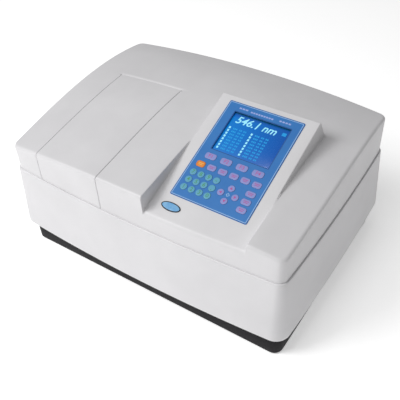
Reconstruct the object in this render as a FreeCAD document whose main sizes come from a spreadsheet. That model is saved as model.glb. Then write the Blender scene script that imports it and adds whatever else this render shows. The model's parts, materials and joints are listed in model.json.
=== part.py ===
"""Double-beam bench spectrophotometer, built as the separate pieces it comes apart into.

Frame: millimetres, +X to the instrument's right, -Y towards the person using it, +Z up.
The origin is on the bench top, under the middle of the case.

The light path is a real one in outline: lamps -> lamp mirror -> filter wheel -> monochromator with a
turning grating -> beam splitter and fold mirrors -> two cells in the sample chamber -> two detectors.
"""
import FreeCAD
import Part
import Sketcher
import math
import os
import re

Vector = FreeCAD.Vector

# Driving dimensions, in millimetres and degrees. Each one becomes a cell of the spreadsheet.
SIZES = {
    # case
    "case_half_width": 300.0,        # at the corners; the sides bulge past it
    "case_half_depth": 212.0,
    "side_bulge": 5.0,
    "front_bulge": 12.0,
    "corner_radius": 16.0,
    "wall": 3.0,
    "foot_height": 4.0,
    "base_top": 54.0,
    "seam_height": 197.0,
    "tray_inset": 2.0,
    "bottom_flare": 10.0,            # the lower case widens by this much towards the bottom
    "bottom_round": 7.0,
    "cover_inset": 3.0,              # the cover stands this far inside the lower case
    "ledge": 9.0,                    # width of the rim the cover stands on
    # crowned top
    "front_edge_height": 249.0,
    "rear_edge_height": 273.0,
    "crown": 19.0,
    "front_crown": 25.0,
    "rear_crown": 14.0,
    "crown_skew": -0.8,
    # keypad platform: a flat tilted bed let into the front of the cover
    "platform_centre_x": 130.0,
    "platform_centre_y": -67.85,
    "platform_centre_z": 291.55,
    "platform_tilt": 19.54,
    "platform_half_width": 100.0,
    "platform_rear": 122.0,
    "platform_slope_foot": 76.0,     # where its rear face comes down to
    "platform_slope_height": 280.0,
    # sample lid
    "lid_left": -224.8,
    "lid_right": -72.2,
    "lid_rear": 52.0,
    "lid_gap": 0.8,
    "lid_rear_gap": 3.0,
    "lid_foot_gap": 1.0,
    "lid_axis_y": 16.0,
    "lid_axis_z": 285.5,
    "pin_radius": 2.0,
    "running_clearance": 0.05,
    # sample chamber
    "chamber_left": -226.0,
    "chamber_right": -71.0,
    "chamber_front": -206.0,
    "chamber_rear": 19.5,
    "chamber_rim": 232.0,
    "sample_beam_y": -130.0,
    "reference_beam_y": -50.0,
    "cell_x": -148.5,
    "cuvette": 12.5,
    "cuvette_depth": 40.0,
    "holder_width": 32.0,
    "holder_height": 65.0,
    # optics
    "bench_under": 88.0,
    "bench_top": 98.0,
    "beam_height": 141.0,
    "grating_x": 20.0,
    "grating_y": 60.0,
    "lamp_mirror_x": 165.0,
    "lamp_mirror_y": 100.0,
    "shaft_radius": 2.5,
    "wheel_x": 88.0,
    "wheel_radius": 22.0,
    "wheel_pitch": 15.0,
    # keypad
    "overlay_width": 152.6,
    "overlay_length": 218.6,
    "overlay_thick": 1.0,
    "window_centre_u": 1.5,
    "window_centre_v": 45.0,
    "window_width": 114.0,
    "window_length": 88.0,
    "key_proud": 1.9,                # height of a key's top over the platform
    "key_clearance": 0.35,
    "key_flange": 0.9,
    "key_corner": 4.2,
    "key_travel": 0.6,
    "board_level": -8.0,
    # rear panel
    "panel_left": -195.0,
    "panel_right": 225.0,
    "panel_low": 68.0,
    "panel_high": 190.0,
    "panel_face": 209.0,
    "panel_lip": 10.0,
    "screw_radius": 1.5,
    "fan_x": 150.0,
    "fan_z": 132.0,
    "fan_half": 35.0,
    "rocker_x": -92.0,
    "inlet_x": -140.0,
    "service_z": 118.0,
}

doc = FreeCAD.newDocument("Spectrophotometer")
sheet = doc.addObject("Spreadsheet::Sheet", "Sizes")
for row, (alias, value) in enumerate(SIZES.items(), start=1):
    sheet.set(f"A{row}", alias)
    sheet.set(f"B{row}", str(value))
    sheet.setAlias(f"B{row}", alias)
doc.recompute()

NODES = []


def size(alias):
    """Return a cell of the sheet as a number, for shapes made by Part's own functions."""
    return float(sheet.get(alias))


def rule(text):
    """Return an expression in which every alias points at its cell."""
    def point_at_cell(word):
        name = word.group(0)
        return f"Sizes.{name}" if name in SIZES else name

    return re.sub(r"[a-z_]\w*", point_at_cell, str(text))


def piece(label, source):
    """Name a finished sub-part: its label is the name of its node and of its file."""
    source.Label = label
    NODES.append(source)
    return source


def feature(label, shape):
    """Keep a shape made by Part's own functions as a sub-part."""
    holder = doc.addObject("Part::Feature", label)
    holder.Shape = shape
    return piece(label, holder)


# ---------------------------------------------------------------- parametric solids
def bind(solid, **rules):
    """Bind properties to expressions; x, y and z mean the solid's place."""
    for name, text in rules.items():
        target = f".Placement.Base.{name}" if name in ("x", "y", "z") else name
        solid.setExpression(target, rule(text))
    return solid


def block(x, y, z, length, width, height):
    """A block from its least corner."""
    return bind(doc.addObject("Part::Box", "block"), x=x, y=y, z=z, Length=length, Width=width, Height=height)


def post(x, y, z, radius, height):
    """An upright cylinder."""
    return bind(doc.addObject("Part::Cylinder", "post"), x=x, y=y, z=z, Radius=radius, Height=height)


def rod(x, y, z, radius, length, axis):
    """A cylinder lying along X or Y."""
    turned = Vector(0, 1, 0) if axis == "X" else Vector(-1, 0, 0)
    solid = doc.addObject("Part::Cylinder", "rod")
    solid.Placement = FreeCAD.Placement(Vector(0, 0, 0), FreeCAD.Rotation(turned, 90))
    return bind(solid, x=x, y=y, z=z, Radius=radius, Height=length)


def fuse(*solids):
    """One solid out of several that meet."""
    joined = doc.addObject("Part::MultiFuse", "fuse")
    joined.Shapes = list(solids)
    return joined


def group(*solids):
    """Several separate solids kept as one node."""
    held = doc.addObject("Part::Compound", "group")
    held.Links = list(solids)
    return held


def cut(base, *tools):
    """Take every tool away from the base."""
    left = doc.addObject("Part::Cut", "cut")
    left.Base = base
    left.Tool = tools[0] if len(tools) == 1 else fuse(*tools)
    return left


# ---------------------------------------------------------------- sketches
def new_body(label):
    """A PartDesign body that is a sub-part of its own."""
    return piece(label, doc.addObject("PartDesign::Body", label))


def sketch_on(body, name, lift="0"):
    """A sketch on the body's own XY plane, lifted along its normal."""
    plane = next(item for item in body.Origin.OriginFeatures if item.Role == "XY_Plane")
    sketch = body.newObject("Sketcher::SketchObject", name)
    sketch.AttachmentSupport = (plane, [""])
    sketch.MapMode = "FlatFace"
    sketch.setExpression("AttachmentOffset.Base.z", rule(lift))
    return sketch


def rectangle(sketch, width, length):
    """A constrained rectangle about the sketch's origin; sizes are expressions."""
    half_w, half_l = 20.0, 12.0
    signs = ((-1, -1), (1, -1), (1, 1), (-1, 1))
    corners = [Vector(side * half_w, end * half_l, 0) for side, end in signs]
    for number in range(4):
        sketch.addGeometry(Part.LineSegment(corners[number], corners[(number + 1) % 4]))
    for number in range(4):
        sketch.addConstraint(Sketcher.Constraint("Coincident", number, 2, (number + 1) % 4, 1))
        sketch.addConstraint(Sketcher.Constraint("Vertical" if number % 2 else "Horizontal", number))
    sketch.addConstraint(Sketcher.Constraint("Symmetric", 0, 1, 2, 1, -1, 1))
    spans = (("DistanceX", 0, 2 * half_w, width), ("DistanceY", 1, 2 * half_l, length))
    for kind, line, start, text in spans:
        index = sketch.addConstraint(Sketcher.Constraint(kind, line, 1, line, 2, start))
        sketch.setExpression(f"Constraints[{index}]", rule(text))


def round_corners(body, step, sketch, radius):
    """Round the upright edges that a rectangle's four corners made."""
    doc.recompute()
    corners = [line.StartPoint for line in sketch.Geometry]
    names = []
    for number, edge in enumerate(step.Shape.Edges, start=1):
        first, last = edge.Vertexes[0].Point, edge.Vertexes[-1].Point
        on_corner = any(math.hypot(first.x - spot.x, first.y - spot.y) < 0.01 for spot in corners)
        upright = math.hypot(first.x - last.x, first.y - last.y) < 0.01 and abs(first.z - last.z) > 0.1
        if on_corner and upright:
            names.append(f"Edge{number}")
    fillet = body.newObject("PartDesign::Fillet", "rounded")
    fillet.Base = (step, names)
    fillet.setExpression("Radius", rule(radius))
    return fillet


def round_outline(sketch, radius):
    """A constrained circle about the sketch's origin."""
    circle = sketch.addGeometry(Part.Circle(Vector(0, 0, 0), Vector(0, 0, 1), 5.0))
    sketch.addConstraint(Sketcher.Constraint("Coincident", circle, 3, -1, 1))
    index = sketch.addConstraint(Sketcher.Constraint("Radius", circle, 5.0))
    sketch.setExpression(f"Constraints[{index}]", rule(radius))


def extrude(body, sketch, length, kind="PartDesign::Pad"):
    """Pad a sketch up its normal, or pocket it downwards, by an expression."""
    step = body.newObject(kind, "step")
    step.Profile = sketch
    step.setExpression("Length", rule(length))
    return step


def soften_top(body, pad, radius):
    """Round the edge of a pad's top face."""
    doc.recompute()
    faces = pad.Shape.Faces
    top = max(range(len(faces)), key=lambda number: faces[number].CenterOfMass.z)
    fillet = body.newObject("PartDesign::Fillet", "softened")
    fillet.Base = (pad, [f"Face{top + 1}"])
    fillet.Radius = radius


# ---------------------------------------------------------------- shell shapes
def outline(offset, height):
    """The case's plan: four shallow arcs between its corners, grown by an offset."""
    half_x = size("case_half_width") + offset
    half_y = size("case_half_depth") + offset
    corners = [Vector(half_x, -half_y, height), Vector(half_x, half_y, height),
               Vector(-half_x, half_y, height), Vector(-half_x, -half_y, height)]
    bow_x, bow_y = half_x + size("side_bulge"), half_y + size("front_bulge")
    middles = [Vector(bow_x, 0, height), Vector(0, bow_y, height),
               Vector(-bow_x, 0, height), Vector(0, -bow_y, height)]
    arcs = [Part.Arc(corners[n], middles[n], corners[(n + 1) % 4]).toShape() for n in range(4)]
    return Part.Wire(arcs)


def upright_edges(solid):
    """The four edges that run up a case shell's corners."""
    tall = []
    for edge in solid.Edges:
        first, last = edge.Vertexes[0].Point, edge.Vertexes[-1].Point
        if abs(first.z - last.z) > 20 and abs(first.x) > 200 and abs(first.y) > 150:
            tall.append(edge)
    return tall


def case_prism(low_offset, low, high_offset, high):
    """The case's outline lofted between two levels, with its corners rounded."""
    solid = Part.makeLoft([outline(low_offset, low), outline(high_offset, high)], True, True)
    radius = size("corner_radius") + min(low_offset, high_offset)
    return solid.makeFillet(max(radius, 5.0), upright_edges(solid))


def crown_height(x, y):
    """Height of the crowned top over a point of the plan."""
    across = 1 - (x / size("case_half_width")) ** 2
    back = (y + size("case_half_depth")) / (2 * size("case_half_depth"))
    edge = size("front_edge_height") + (size("rear_edge_height") - size("front_edge_height")) * back
    swell = size("crown") * 4 * back * (1 - back) * (1 + size("crown_skew") * (0.5 - back))
    return edge + swell + across * (size("front_crown") * (1 - back) + size("rear_crown") * back)


def under_crown(drop):
    """A block whose top follows the crown, lowered by a drop."""
    reach_x, reach_y, steps = 340.0, 270.0, 8
    rows = []
    for i in range(steps + 1):
        x = -reach_x + 2 * reach_x * i / steps
        ys = [-reach_y + 2 * reach_y * j / steps for j in range(steps + 1)]
        rows.append([Vector(x, y, crown_height(x, y) - drop) for y in ys])
    surface = Part.BSplineSurface()
    surface.interpolate(rows)
    return surface.toShape().extrude(Vector(0, 0, -260))


def on_platform(u, v, level):
    """A point given in the platform's own frame, in the frame of the instrument."""
    tilt = math.radians(size("platform_tilt"))
    return Vector(size("platform_centre_x") + u,
                  size("platform_centre_y") + v * math.cos(tilt) - level * math.sin(tilt),
                  size("platform_centre_z") + v * math.sin(tilt) + level * math.cos(tilt))


def platform_place(u=0.0, v=0.0, level=0.0):
    """The placement of something that lies on the platform."""
    return FreeCAD.Placement(on_platform(u, v, level),
                             FreeCAD.Rotation(Vector(1, 0, 0), size("platform_tilt")))


def side_profile(points, left, right):
    """A solid whose YZ outline runs from left to right."""
    loop = [Vector(left, y, z) for y, z in points]
    face = Part.Face(Part.makePolygon(loop + [loop[0]]))
    return face.extrude(Vector(right - left, 0, 0))


def platform_solids(drop, widen, narrow):
    """The space over the platform and the wedge under it, with its surface lowered by a drop."""
    front = on_platform(0, -205, -drop)
    rear = on_platform(0, size("platform_rear"), -drop)
    centre, half = size("platform_centre_x"), size("platform_half_width")
    space = side_profile([(front.y, front.z), (rear.y, rear.z), (rear.y, 420), (front.y, 420)],
                         centre - half - widen, centre + half + widen)
    foot, under = size("platform_slope_foot") - 1.3 * drop, 190
    ridge = rear.y - 0.6 * drop
    section = [(front.y, under), (front.y, front.z), (ridge, rear.z),
               (foot, size("platform_slope_height")), (foot, under)]
    wedge = side_profile(section, centre - half + narrow, centre + half - narrow)
    return space, wedge


def cover_form(drop, low):
    """The cover as a full solid; a drop of one wall gives its inside."""
    prism = case_prism(-size("cover_inset") - drop, low, -size("cover_inset") - drop, 420.0)
    space, wedge = platform_solids(drop, drop, drop)
    crown = prism.common(under_crown(drop)).cut(space)
    return crown.fuse(prism.common(wedge)).removeSplitter()


def upright_box(x0, x1, y0, y1, z0, z1):
    """A plain block between two corners, for cutting shells."""
    return Part.makeBox(x1 - x0, y1 - y0, z1 - z0, Vector(x0, y0, z0))


# ---------------------------------------------------------------- keys
def key_table():
    """Where every key sits on the platform, and how big it is.

    Each row holds its name, u, v, width and length. A width of None makes a round key.
    """
    keys = []
    row_pitch, pad_pitch = 16.4, 16.0
    for number in range(4):
        keys.append((f"key_f{number + 1}", (number - 1.5) * 31.7 + 0.4, -15.0, 22.0, 12.5))
    keys.append(("key_return", -55.8, -35.6, 17.0, 12.0))
    for number in range(5):
        keys.append((f"key_function_{number + 1}", -33.2 + 22.5 * number, -35.6, 17.0, 12.0))
    digits = ("7", "8", "9", "minus", "4", "5", "6", "point", "1", "2", "3", "0")
    for number, name in enumerate(digits):
        u, v = -60.0 + pad_pitch * (number % 4), -54.8 - row_pitch * (number // 4)
        keys.append((f"key_{name}", u, v, None, 13.0))
    for name, step_u, step_v in (("up", 0, 1), ("left", -1, 0), ("right", 1, 0), ("down", 0, -1)):
        keys.append((f"key_{name}", 20.2 + 14.2 * step_u, -71.8 + 13.2 * step_v, None, 12.6))
    for number, name in enumerate(("clear", "start", "enter")):
        keys.append((f"key_{name}", 55.6, -55.8 - row_pitch * number, 18.0, 11.5))
    return keys


def make_key(name, u, v, width, length):
    """A sprung key: a cap through the overlay, a flange under it and a plunger for its switch."""
    body = new_body(name)
    plunger = sketch_on(body, f"{name}_plunger", "-3.4")
    round_outline(plunger, "2.5")
    step = extrude(body, plunger, "1.0")
    plates = []
    steps = (("flange", "-2.4", "2.0", "key_flange"), ("cap", "-0.4", "key_proud + 0.4", "0"))
    for label, lift, height, grow in steps:
        sketch = sketch_on(body, f"{name}_{label}", lift)
        if width is None:
            round_outline(sketch, f"{length / 2} + {grow}")
        else:
            rectangle(sketch, f"{width} + 2 * {grow}", f"{length} + 2 * {grow}")
            plates.append((sketch, f"key_corner + {grow}"))
        step = extrude(body, sketch, height)
    for sketch, radius in reversed(plates):
        step = round_corners(body, step, sketch, radius)
    soften_top(body, step, 0.7)
    body.Placement = platform_place(u, v)


def key_opening(width, length, grow, low, high):
    """The space a key needs, in the platform's frame."""
    if width is None:
        return Part.makeCylinder(length / 2 + grow, high - low, Vector(0, 0, low))
    solid = Part.makeBox(width + 2 * grow, length + 2 * grow, high - low,
                         Vector(-width / 2 - grow, -length / 2 - grow, low))
    upright = [edge for edge in solid.Edges if abs(edge.Vertexes[0].Z - edge.Vertexes[1].Z) > 0.5]
    return solid.makeFillet(size("key_corner") + grow, upright)


# ---------------------------------------------------------------- case
def foot_places():
    """Centre of each rubber foot in plan."""
    return [(x, y) for x in (-250, 250) for y in (-165, 165)]


def make_base_tray():
    """Black moulded tray the whole instrument stands in, with sockets for its feet."""
    width, length = "2 * (case_half_width - tray_inset)", "2 * (case_half_depth - tray_inset)"
    body = new_body("base_tray")
    outer = sketch_on(body, "tray_outline", "foot_height")
    rectangle(outer, width, length)
    extrude(body, outer, "base_top - foot_height")
    hollow = sketch_on(body, "tray_hollow", "base_top")
    rectangle(hollow, f"{width} - 2 * wall - 2", f"{length} - 2 * wall - 2")
    pocket = extrude(body, hollow, "base_top - foot_height - 4", "PartDesign::Pocket")
    softened = round_corners(body, pocket, hollow, "corner_radius - 2")
    round_corners(body, softened, outer, "corner_radius + 2")
    sockets = sketch_on(body, "foot_sockets", "foot_height + 4")
    for x, y in foot_places():
        circle = sockets.addGeometry(Part.Circle(Vector(x, y, 0), Vector(0, 0, 1), 4.0))
        sockets.addConstraint(Sketcher.Constraint("Radius", circle, 4.0))
        sockets.addConstraint(Sketcher.Constraint("DistanceX", -1, 1, circle, 3, x))
        sockets.addConstraint(Sketcher.Constraint("DistanceY", -1, 1, circle, 3, y))
    extrude(body, sockets, "4", "PartDesign::Pocket")


def make_feet():
    """Four rubber feet, each with a plug pressed into the tray."""
    feet = []
    for x, y in foot_places():
        feet.append(fuse(post(x, y, 0, 14, "foot_height"), post(x, y, 0, 4, "foot_height + 3")))
    piece("rubber_feet", group(*feet))


def make_lower_case():
    """Flared lower case: a ring of wall with a turned-in foot, a rim for the cover and a rear recess."""
    wall, base, seam, flare = size("wall"), size("base_top"), size("seam_height"), size("bottom_flare")
    outer = case_prism(flare, base, 0.0, seam)
    bottom = [edge for edge in outer.Edges
              if all(abs(vertex.Z - base) < 0.01 for vertex in edge.Vertexes)]
    outer = outer.makeFillet(size("bottom_round"), bottom)
    hollow = case_prism(flare - wall, base + wall, -wall, seam - 6)
    mouth = case_prism(-size("ledge"), seam - 20, -size("ledge"), seam + 5)
    foot = upright_box(-284, 284, -196, 196, base - 5, base + 20)
    left, right, low, high = (size(f"panel_{side}") for side in ("left", "right", "low", "high"))
    face, lip = size("panel_face"), size("panel_lip")
    collar = outer.common(upright_box(left - 8, right + 8, face - 5, 260, low - 6, high + 6))
    rebate = upright_box(left, right, face, 260, low, high)
    opening = upright_box(left + lip, right - lip, face - 20, 260, low + lip, high - lip)
    shell = outer.cut(hollow).cut(mouth).cut(foot).fuse(collar).cut(rebate).cut(opening)
    for x in (left + lip / 2, (left + right) / 2, right - lip / 2):
        for z in (low + lip / 2, high - lip / 2):
            start = Vector(x, face - 20, z)
            shell = shell.cut(Part.makeCylinder(size("screw_radius"), 30, start, Vector(0, 1, 0)))
    feature("lower_case", shell.removeSplitter())


def keypad_cuts():
    """The openings that the cover has under the keypad and the display."""
    field = Part.makeBox(139, 91, 30, Vector(-69.5, -97, -20))
    half_w, half_l = size("window_width") / 2, size("window_length") / 2
    window = Part.makeBox(2 * half_w, 2 * half_l, 30,
                          Vector(size("window_centre_u") - half_w, size("window_centre_v") - half_l, -20))
    both = field.fuse(window)
    both.Placement = platform_place()
    return both


def make_cover_and_lid():
    """The crowned top cover, and the sample lid that is cut out of the same skin."""
    seam, wall, gap = size("seam_height"), size("wall"), size("lid_gap")
    left, right, rear = size("lid_left"), size("lid_right"), size("lid_rear")
    full = cover_form(0.0, seam)
    inside = cover_form(wall, seam - 5)
    skin = full.cut(inside)
    opening = upright_box(left - gap, right + gap, -260, rear + size("lid_rear_gap"), seam - 10, 400)
    cover = skin.cut(opening).cut(keypad_cuts())
    feature("top_cover", cover.removeSplitter())

    space = upright_box(left, right, -260, rear, seam + size("lid_foot_gap"), 400)
    crown = full.common(upright_box(left - 20, right + 20, -260, rear + 40, seam, 400))
    rib_depth, edge = 9.0, 2.5
    ribs = crown.cut(crown.translated(Vector(0, 0, -rib_depth)))
    rails = [upright_box(left, left + edge, -200, rear, seam, 400),
             upright_box(right - edge, right, -200, rear, seam, 400),
             upright_box(left, right, rear - 4, rear, seam, 400)]
    lid = skin.common(space)
    for rail in rails:
        lid = lid.fuse(ribs.common(rail).common(space))
    lid = lid.removeSplitter()
    top_rear = [line for line in lid.Edges
                if all(abs(vertex.Y - rear) < 0.01 for vertex in line.Vertexes)
                and min(vertex.Z for vertex in line.Vertexes) > crown_height(left, rear) - 1.0
                and abs(line.Vertexes[0].X - line.Vertexes[-1].X) > 100]
    lid = lid.makeFillet(edge, top_rear)
    axis_y, axis_z = size("lid_axis_y"), size("lid_axis_z")
    for x in lid_ears():
        ear = upright_box(x, x + 5, axis_y - 4, axis_y + 4, axis_z, 400)
        ear = ear.common(crown.translated(Vector(0, 0, -1.5)))
        knuckle = Part.makeCylinder(4.0, 5, Vector(x, axis_y, axis_z), Vector(1, 0, 0))
        lid = lid.fuse(ear.fuse(knuckle))
    bore = Part.makeCylinder(size("pin_radius") + size("running_clearance"), 200,
                             Vector(left, axis_y, axis_z), Vector(1, 0, 0))
    feature("sample_lid", lid.cut(bore).removeSplitter())


def lid_ears():
    """Left side of each of the lid's hinge ears."""
    return (-204.0, -98.0)


def bracket_ears():
    """Left side of each of the chamber's hinge ears, next to the lid's."""
    return (-198.5, -103.5)


def make_hinge_pins():
    """Two pins, pressed into the chamber's ears, that the lid turns on."""
    pins = []
    for lid_x, bracket_x in zip(lid_ears(), bracket_ears()):
        start = min(lid_x, bracket_x)
        pins.append(rod(start, "lid_axis_y", "lid_axis_z", "pin_radius", 10.5, "X"))
    piece("lid_hinge_pins", group(*pins))


def make_screws():
    """Round-headed screws around the rear panel, into the ledge of the lower case."""
    screws = []
    for x, z in rear_screws():
        head = rod(x, "panel_face + wall", z, 3.2, 1.8, "Y")
        shank = rod(x, "panel_face - 5", z, "screw_radius", "5 + wall", "Y")
        screws.append(fuse(head, shank))
    piece("case_screws", group(*screws))


# ---------------------------------------------------------------- sample chamber
def make_sample_chamber():
    """The black tub the cells stand in, its rim, its beam ports and the lid's hinge brackets."""
    width, depth = "chamber_right - chamber_left", "chamber_rear - chamber_front"
    inner_width, inner_depth = f"{width} - 2 * wall", f"{depth} - 2 * wall"
    tub = cut(block("chamber_left", "chamber_front", "bench_top", width, depth, "chamber_rim - bench_top + 1"),
              block("chamber_left + wall", "chamber_front + wall", "bench_top + wall",
                    inner_width, inner_depth, 200))
    rim = cut(block("chamber_left - 16", "chamber_front", "chamber_rim", f"{width} + 32",
                    "lid_rear + 12 - chamber_front", "wall"),
              block("chamber_left + wall", "chamber_front + wall", "chamber_rim - 5",
                    inner_width, inner_depth, 20))
    solids = [tub, rim]
    for x in bracket_ears():
        solids.append(block(x, "lid_axis_y - 3.5", "chamber_rim", 5, 7, "lid_axis_z - chamber_rim"))
        solids.append(rod(x, "lid_axis_y", "lid_axis_z", 3.5, 5, "X"))
    beams = ("sample_beam_y", "reference_beam_y")
    ports = [rod("chamber_left - 5", y, "beam_height", 6, 170, "X") for y in beams]
    bores = [rod(x - 1, "lid_axis_y", "lid_axis_z", "pin_radius", 7, "X") for x in bracket_ears()]
    piece("sample_chamber", cut(fuse(*solids), *ports, *bores))


def make_cell_holders():
    """Two square cuvette holders on one rail, open at the top and to the beam."""
    solids = [block("cell_x - holder_width / 2", "chamber_front + 30", "bench_top + wall",
                    "holder_width", 180, 5)]
    holes = []
    for y in ("sample_beam_y", "reference_beam_y"):
        solids.append(block("cell_x - holder_width / 2", f"{y} - holder_width / 2", "bench_top + wall",
                            "holder_width", "holder_width", "holder_height"))
        holes.append(block("cell_x - cuvette / 2", f"{y} - cuvette / 2",
                           "bench_top + wall + holder_height - cuvette_depth", "cuvette", "cuvette", 60))
        holes.append(rod("cell_x - 30", y, "beam_height", 4, 60, "X"))
    piece("cell_holders", cut(fuse(*solids), *holes))


# ---------------------------------------------------------------- keypad
def make_overlay():
    """Blue front panel: one flat plate with a window and a hole for every key."""
    width, length, thick = size("overlay_width"), size("overlay_length"), size("overlay_thick")
    plate = Part.makeBox(width, length, thick, Vector(-width / 2, -length / 2, 0))
    plate = plate.makeFillet(3.0, [edge for edge in plate.Edges
                                   if abs(edge.Vertexes[0].Z - edge.Vertexes[1].Z) > 0.5])
    half_w, half_l = size("window_width") / 2, size("window_length") / 2
    corner = Vector(size("window_centre_u") - half_w, size("window_centre_v") - half_l, -1)
    plate = plate.cut(Part.makeBox(2 * half_w, 2 * half_l, 5, corner))
    for _name, u, v, key_width, key_length in key_table():
        hole = key_opening(key_width, key_length, size("key_clearance"), -1, 4)
        hole.translate(Vector(u, v, 0))
        plate = plate.cut(hole)
    panel = feature("keypad_overlay", plate)
    panel.Placement = platform_place()


def make_display():
    """Liquid-crystal module: frame and glass, seated behind the cover's window."""
    body = new_body("display_module")
    frame = sketch_on(body, "frame_outline", "-13")
    rectangle(frame, "window_width + 6", "window_length + 5.6")
    round_corners(body, extrude(body, frame, "13 - wall"), frame, "1.5")
    glass = sketch_on(body, "glass_outline", "-wall")
    rectangle(glass, "window_width - 1", "window_length - 1")
    round_corners(body, extrude(body, glass, "1.0"), glass, "1.0")
    body.Placement = platform_place(size("window_centre_u"), size("window_centre_v"))


def make_keypad_board():
    """Circuit board with one dome switch under each key, on four spacers."""
    board = Part.makeBox(149, 97.5, 1.6, Vector(-74.5, -101, size("board_level")))
    top = size("board_level") + 1.6
    for _name, u, v, _width, _length in key_table():
        board = board.fuse(Part.makeCylinder(3.0, 1.9, Vector(u, v, top)))
    for u in (-72.1, 72.1):
        for v in (-98.8, -5.8):
            board = board.fuse(Part.makeCylinder(2.2, -size("wall") - top, Vector(u, v, top)))
    holder = feature("keypad_board", board.removeSplitter())
    holder.Placement = platform_place()


def make_badge():
    """Plain oval badge on the front of the platform."""
    ring = Part.Ellipse(Vector(0, 0, 0), 19.5, 8.6)
    plate = Part.Face(Part.Wire(ring.toShape())).extrude(Vector(0, 0, 1.8))
    rim = [edge for edge in plate.Edges if edge.Vertexes[0].Z > 1.0 and len(edge.Vertexes) == 1]
    holder = feature("badge", plate.makeFillet(0.6, rim))
    holder.Placement = platform_place(-59.5, -131.5)


# ---------------------------------------------------------------- rear
def make_rear_panel():
    """Steel rear panel with openings for the fan, the mains inlet, the switch and the data ports."""
    plate = block("panel_left", "panel_face", "panel_low", "panel_right - panel_left", 3,
                  "panel_high - panel_low")
    tools = [rod("fan_x", "panel_face - 8", "fan_z", "fan_half - 3", 20, "Y")]
    for x, z, width, height in service_openings():
        tools.append(block(f"{x} - {width / 2}", "panel_face - 8", f"{z} - {height / 2}", width, 20, height))
    for x, z in rear_screws():
        tools.append(rod(x, "panel_face - 8", z, "screw_radius", 20, "Y"))
    grille = [block("fan_x - fan_half + 2", "panel_face + 0.8", f"fan_z - 1.5 + {level}", "2 * fan_half - 4",
                    1.6, 3) for level in (-20, -10, 0, 10, 20)]
    piece("rear_panel", fuse(cut(plate, *tools), *grille))


def rear_screws():
    """Centre of every screw of the rear panel, as expressions."""
    columns = ("panel_left + panel_lip / 2", "(panel_left + panel_right) / 2", "panel_right - panel_lip / 2")
    return [(x, z) for x in columns for z in ("panel_low + panel_lip / 2", "panel_high - panel_lip / 2")]


def service_openings():
    """Each opening of the rear panel for a connector: x, z, width and height."""
    return (("inlet_x", "service_z", 28, 20), ("rocker_x", "service_z", 22, 29),
            ("-20", "service_z", 32, 13), ("25", "service_z", 13, 12), ("-20", "service_z + 28", 50, 13))


def make_rear_connectors():
    """Mains inlet, the switch's frame and the data ports, each through its own opening."""
    inlet, switch = 0, 1
    solids = []
    for number, (x, z, width, height) in enumerate(service_openings()):
        left, low = f"{x} - {width / 2}", f"{z} - {height / 2}"
        shell = block(left, "panel_face - 16", low, width, 19, height)
        flange = block(f"{left} - 2", "panel_face + 3", f"{low} - 2", width + 4, 1.5, height + 4)
        lip = 2.0 if number == switch else 2.5
        depth = {inlet: 14.5, switch: 15.5}.get(number, 2.5)
        hollow = block(f"{left} + {lip}", f"panel_face + 4.5 - {depth}", f"{low} + {lip}",
                       width - 2 * lip, 30, height - 2 * lip)
        solid = cut(fuse(shell, flange), hollow)
        if number == inlet:
            blades = [block(f"{x} - 1 + {step}", "panel_face - 10", f"{z} - 3 + {lift}", 2, 9, 6)
                      for step, lift in ((-7, -1.5), (0, 2), (7, -1.5))]
            solid = fuse(solid, *blades)
        if number == switch:
            solid = cut(solid, rod(f"{x} - 15", "panel_face - 2", z, "1.45 + running_clearance", 30, "X"))
        solids.append(solid)
    piece("rear_connectors", group(*solids))


def make_rocker():
    """Rocker of the power switch, with its pivot."""
    profile = [(-2, -11.4), (3.2, -11.0), (1.6, 0), (4.4, 10.8), (-2, 11.4), (-5, 6), (-5, -6)]
    face, x, z = size("panel_face"), size("rocker_x"), size("service_z")
    points = [(face - 1 + depth, z + height) for depth, height in profile]
    cap = side_profile(points, x - 8.4, x + 8.4)
    pivot = Part.makeCylinder(1.45, 21.6, Vector(x - 10.8, face - 2, z), Vector(1, 0, 0))
    feature("power_rocker", cap.fuse(pivot).removeSplitter())


def make_fan():
    """Axial fan: a square frame with a four-armed hub, and a seven-bladed rotor on its pin."""
    face = "panel_face - 20"
    frame = block("fan_x - fan_half", face, "fan_z - fan_half", "2 * fan_half", 20, "2 * fan_half")
    frame = cut(frame, rod("fan_x", "panel_face - 30", "fan_z", "fan_half - 3", 40, "Y"))
    arms = [block("fan_x - fan_half + 1", face, "fan_z - 1.5", "2 * fan_half - 2", 3, 3),
            block("fan_x - 1.5", face, "fan_z - fan_half + 1", 3, 3, "2 * fan_half - 2"),
            rod("fan_x", face, "fan_z", 10, 3, "Y")]
    bore = rod("fan_x", "panel_face - 30", "fan_z", "pin_radius + running_clearance", 40, "Y")
    piece("fan_frame", cut(fuse(frame, *arms), bore))

    x, z, near = size("fan_x"), size("fan_z"), size("panel_face") - 16.4
    hub = Part.makeCylinder(12, 13, Vector(x, near, z), Vector(0, 1, 0))
    pin = Part.makeCylinder(size("pin_radius"), 6, Vector(x, near - 4, z), Vector(0, 1, 0))
    rotor = hub.fuse(pin)
    for number in range(7):
        blade = Part.makeBox(19.3, 1.4, 13, Vector(11, -0.7, 0))
        blade.rotate(Vector(0, 0, 6.5), Vector(1, 0, 0), 38)
        blade = blade.common(Part.makeCylinder(30.3, 10.6, Vector(0, 0, 1.2)))
        blade.rotate(Vector(0, 0, 0), Vector(0, 0, 1), 360 / 7 * number)
        blade.rotate(Vector(0, 0, 0), Vector(1, 0, 0), -90)
        blade.translate(Vector(x, near, z))
        rotor = rotor.fuse(blade)
    feature("fan_rotor", rotor.removeSplitter())


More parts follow.
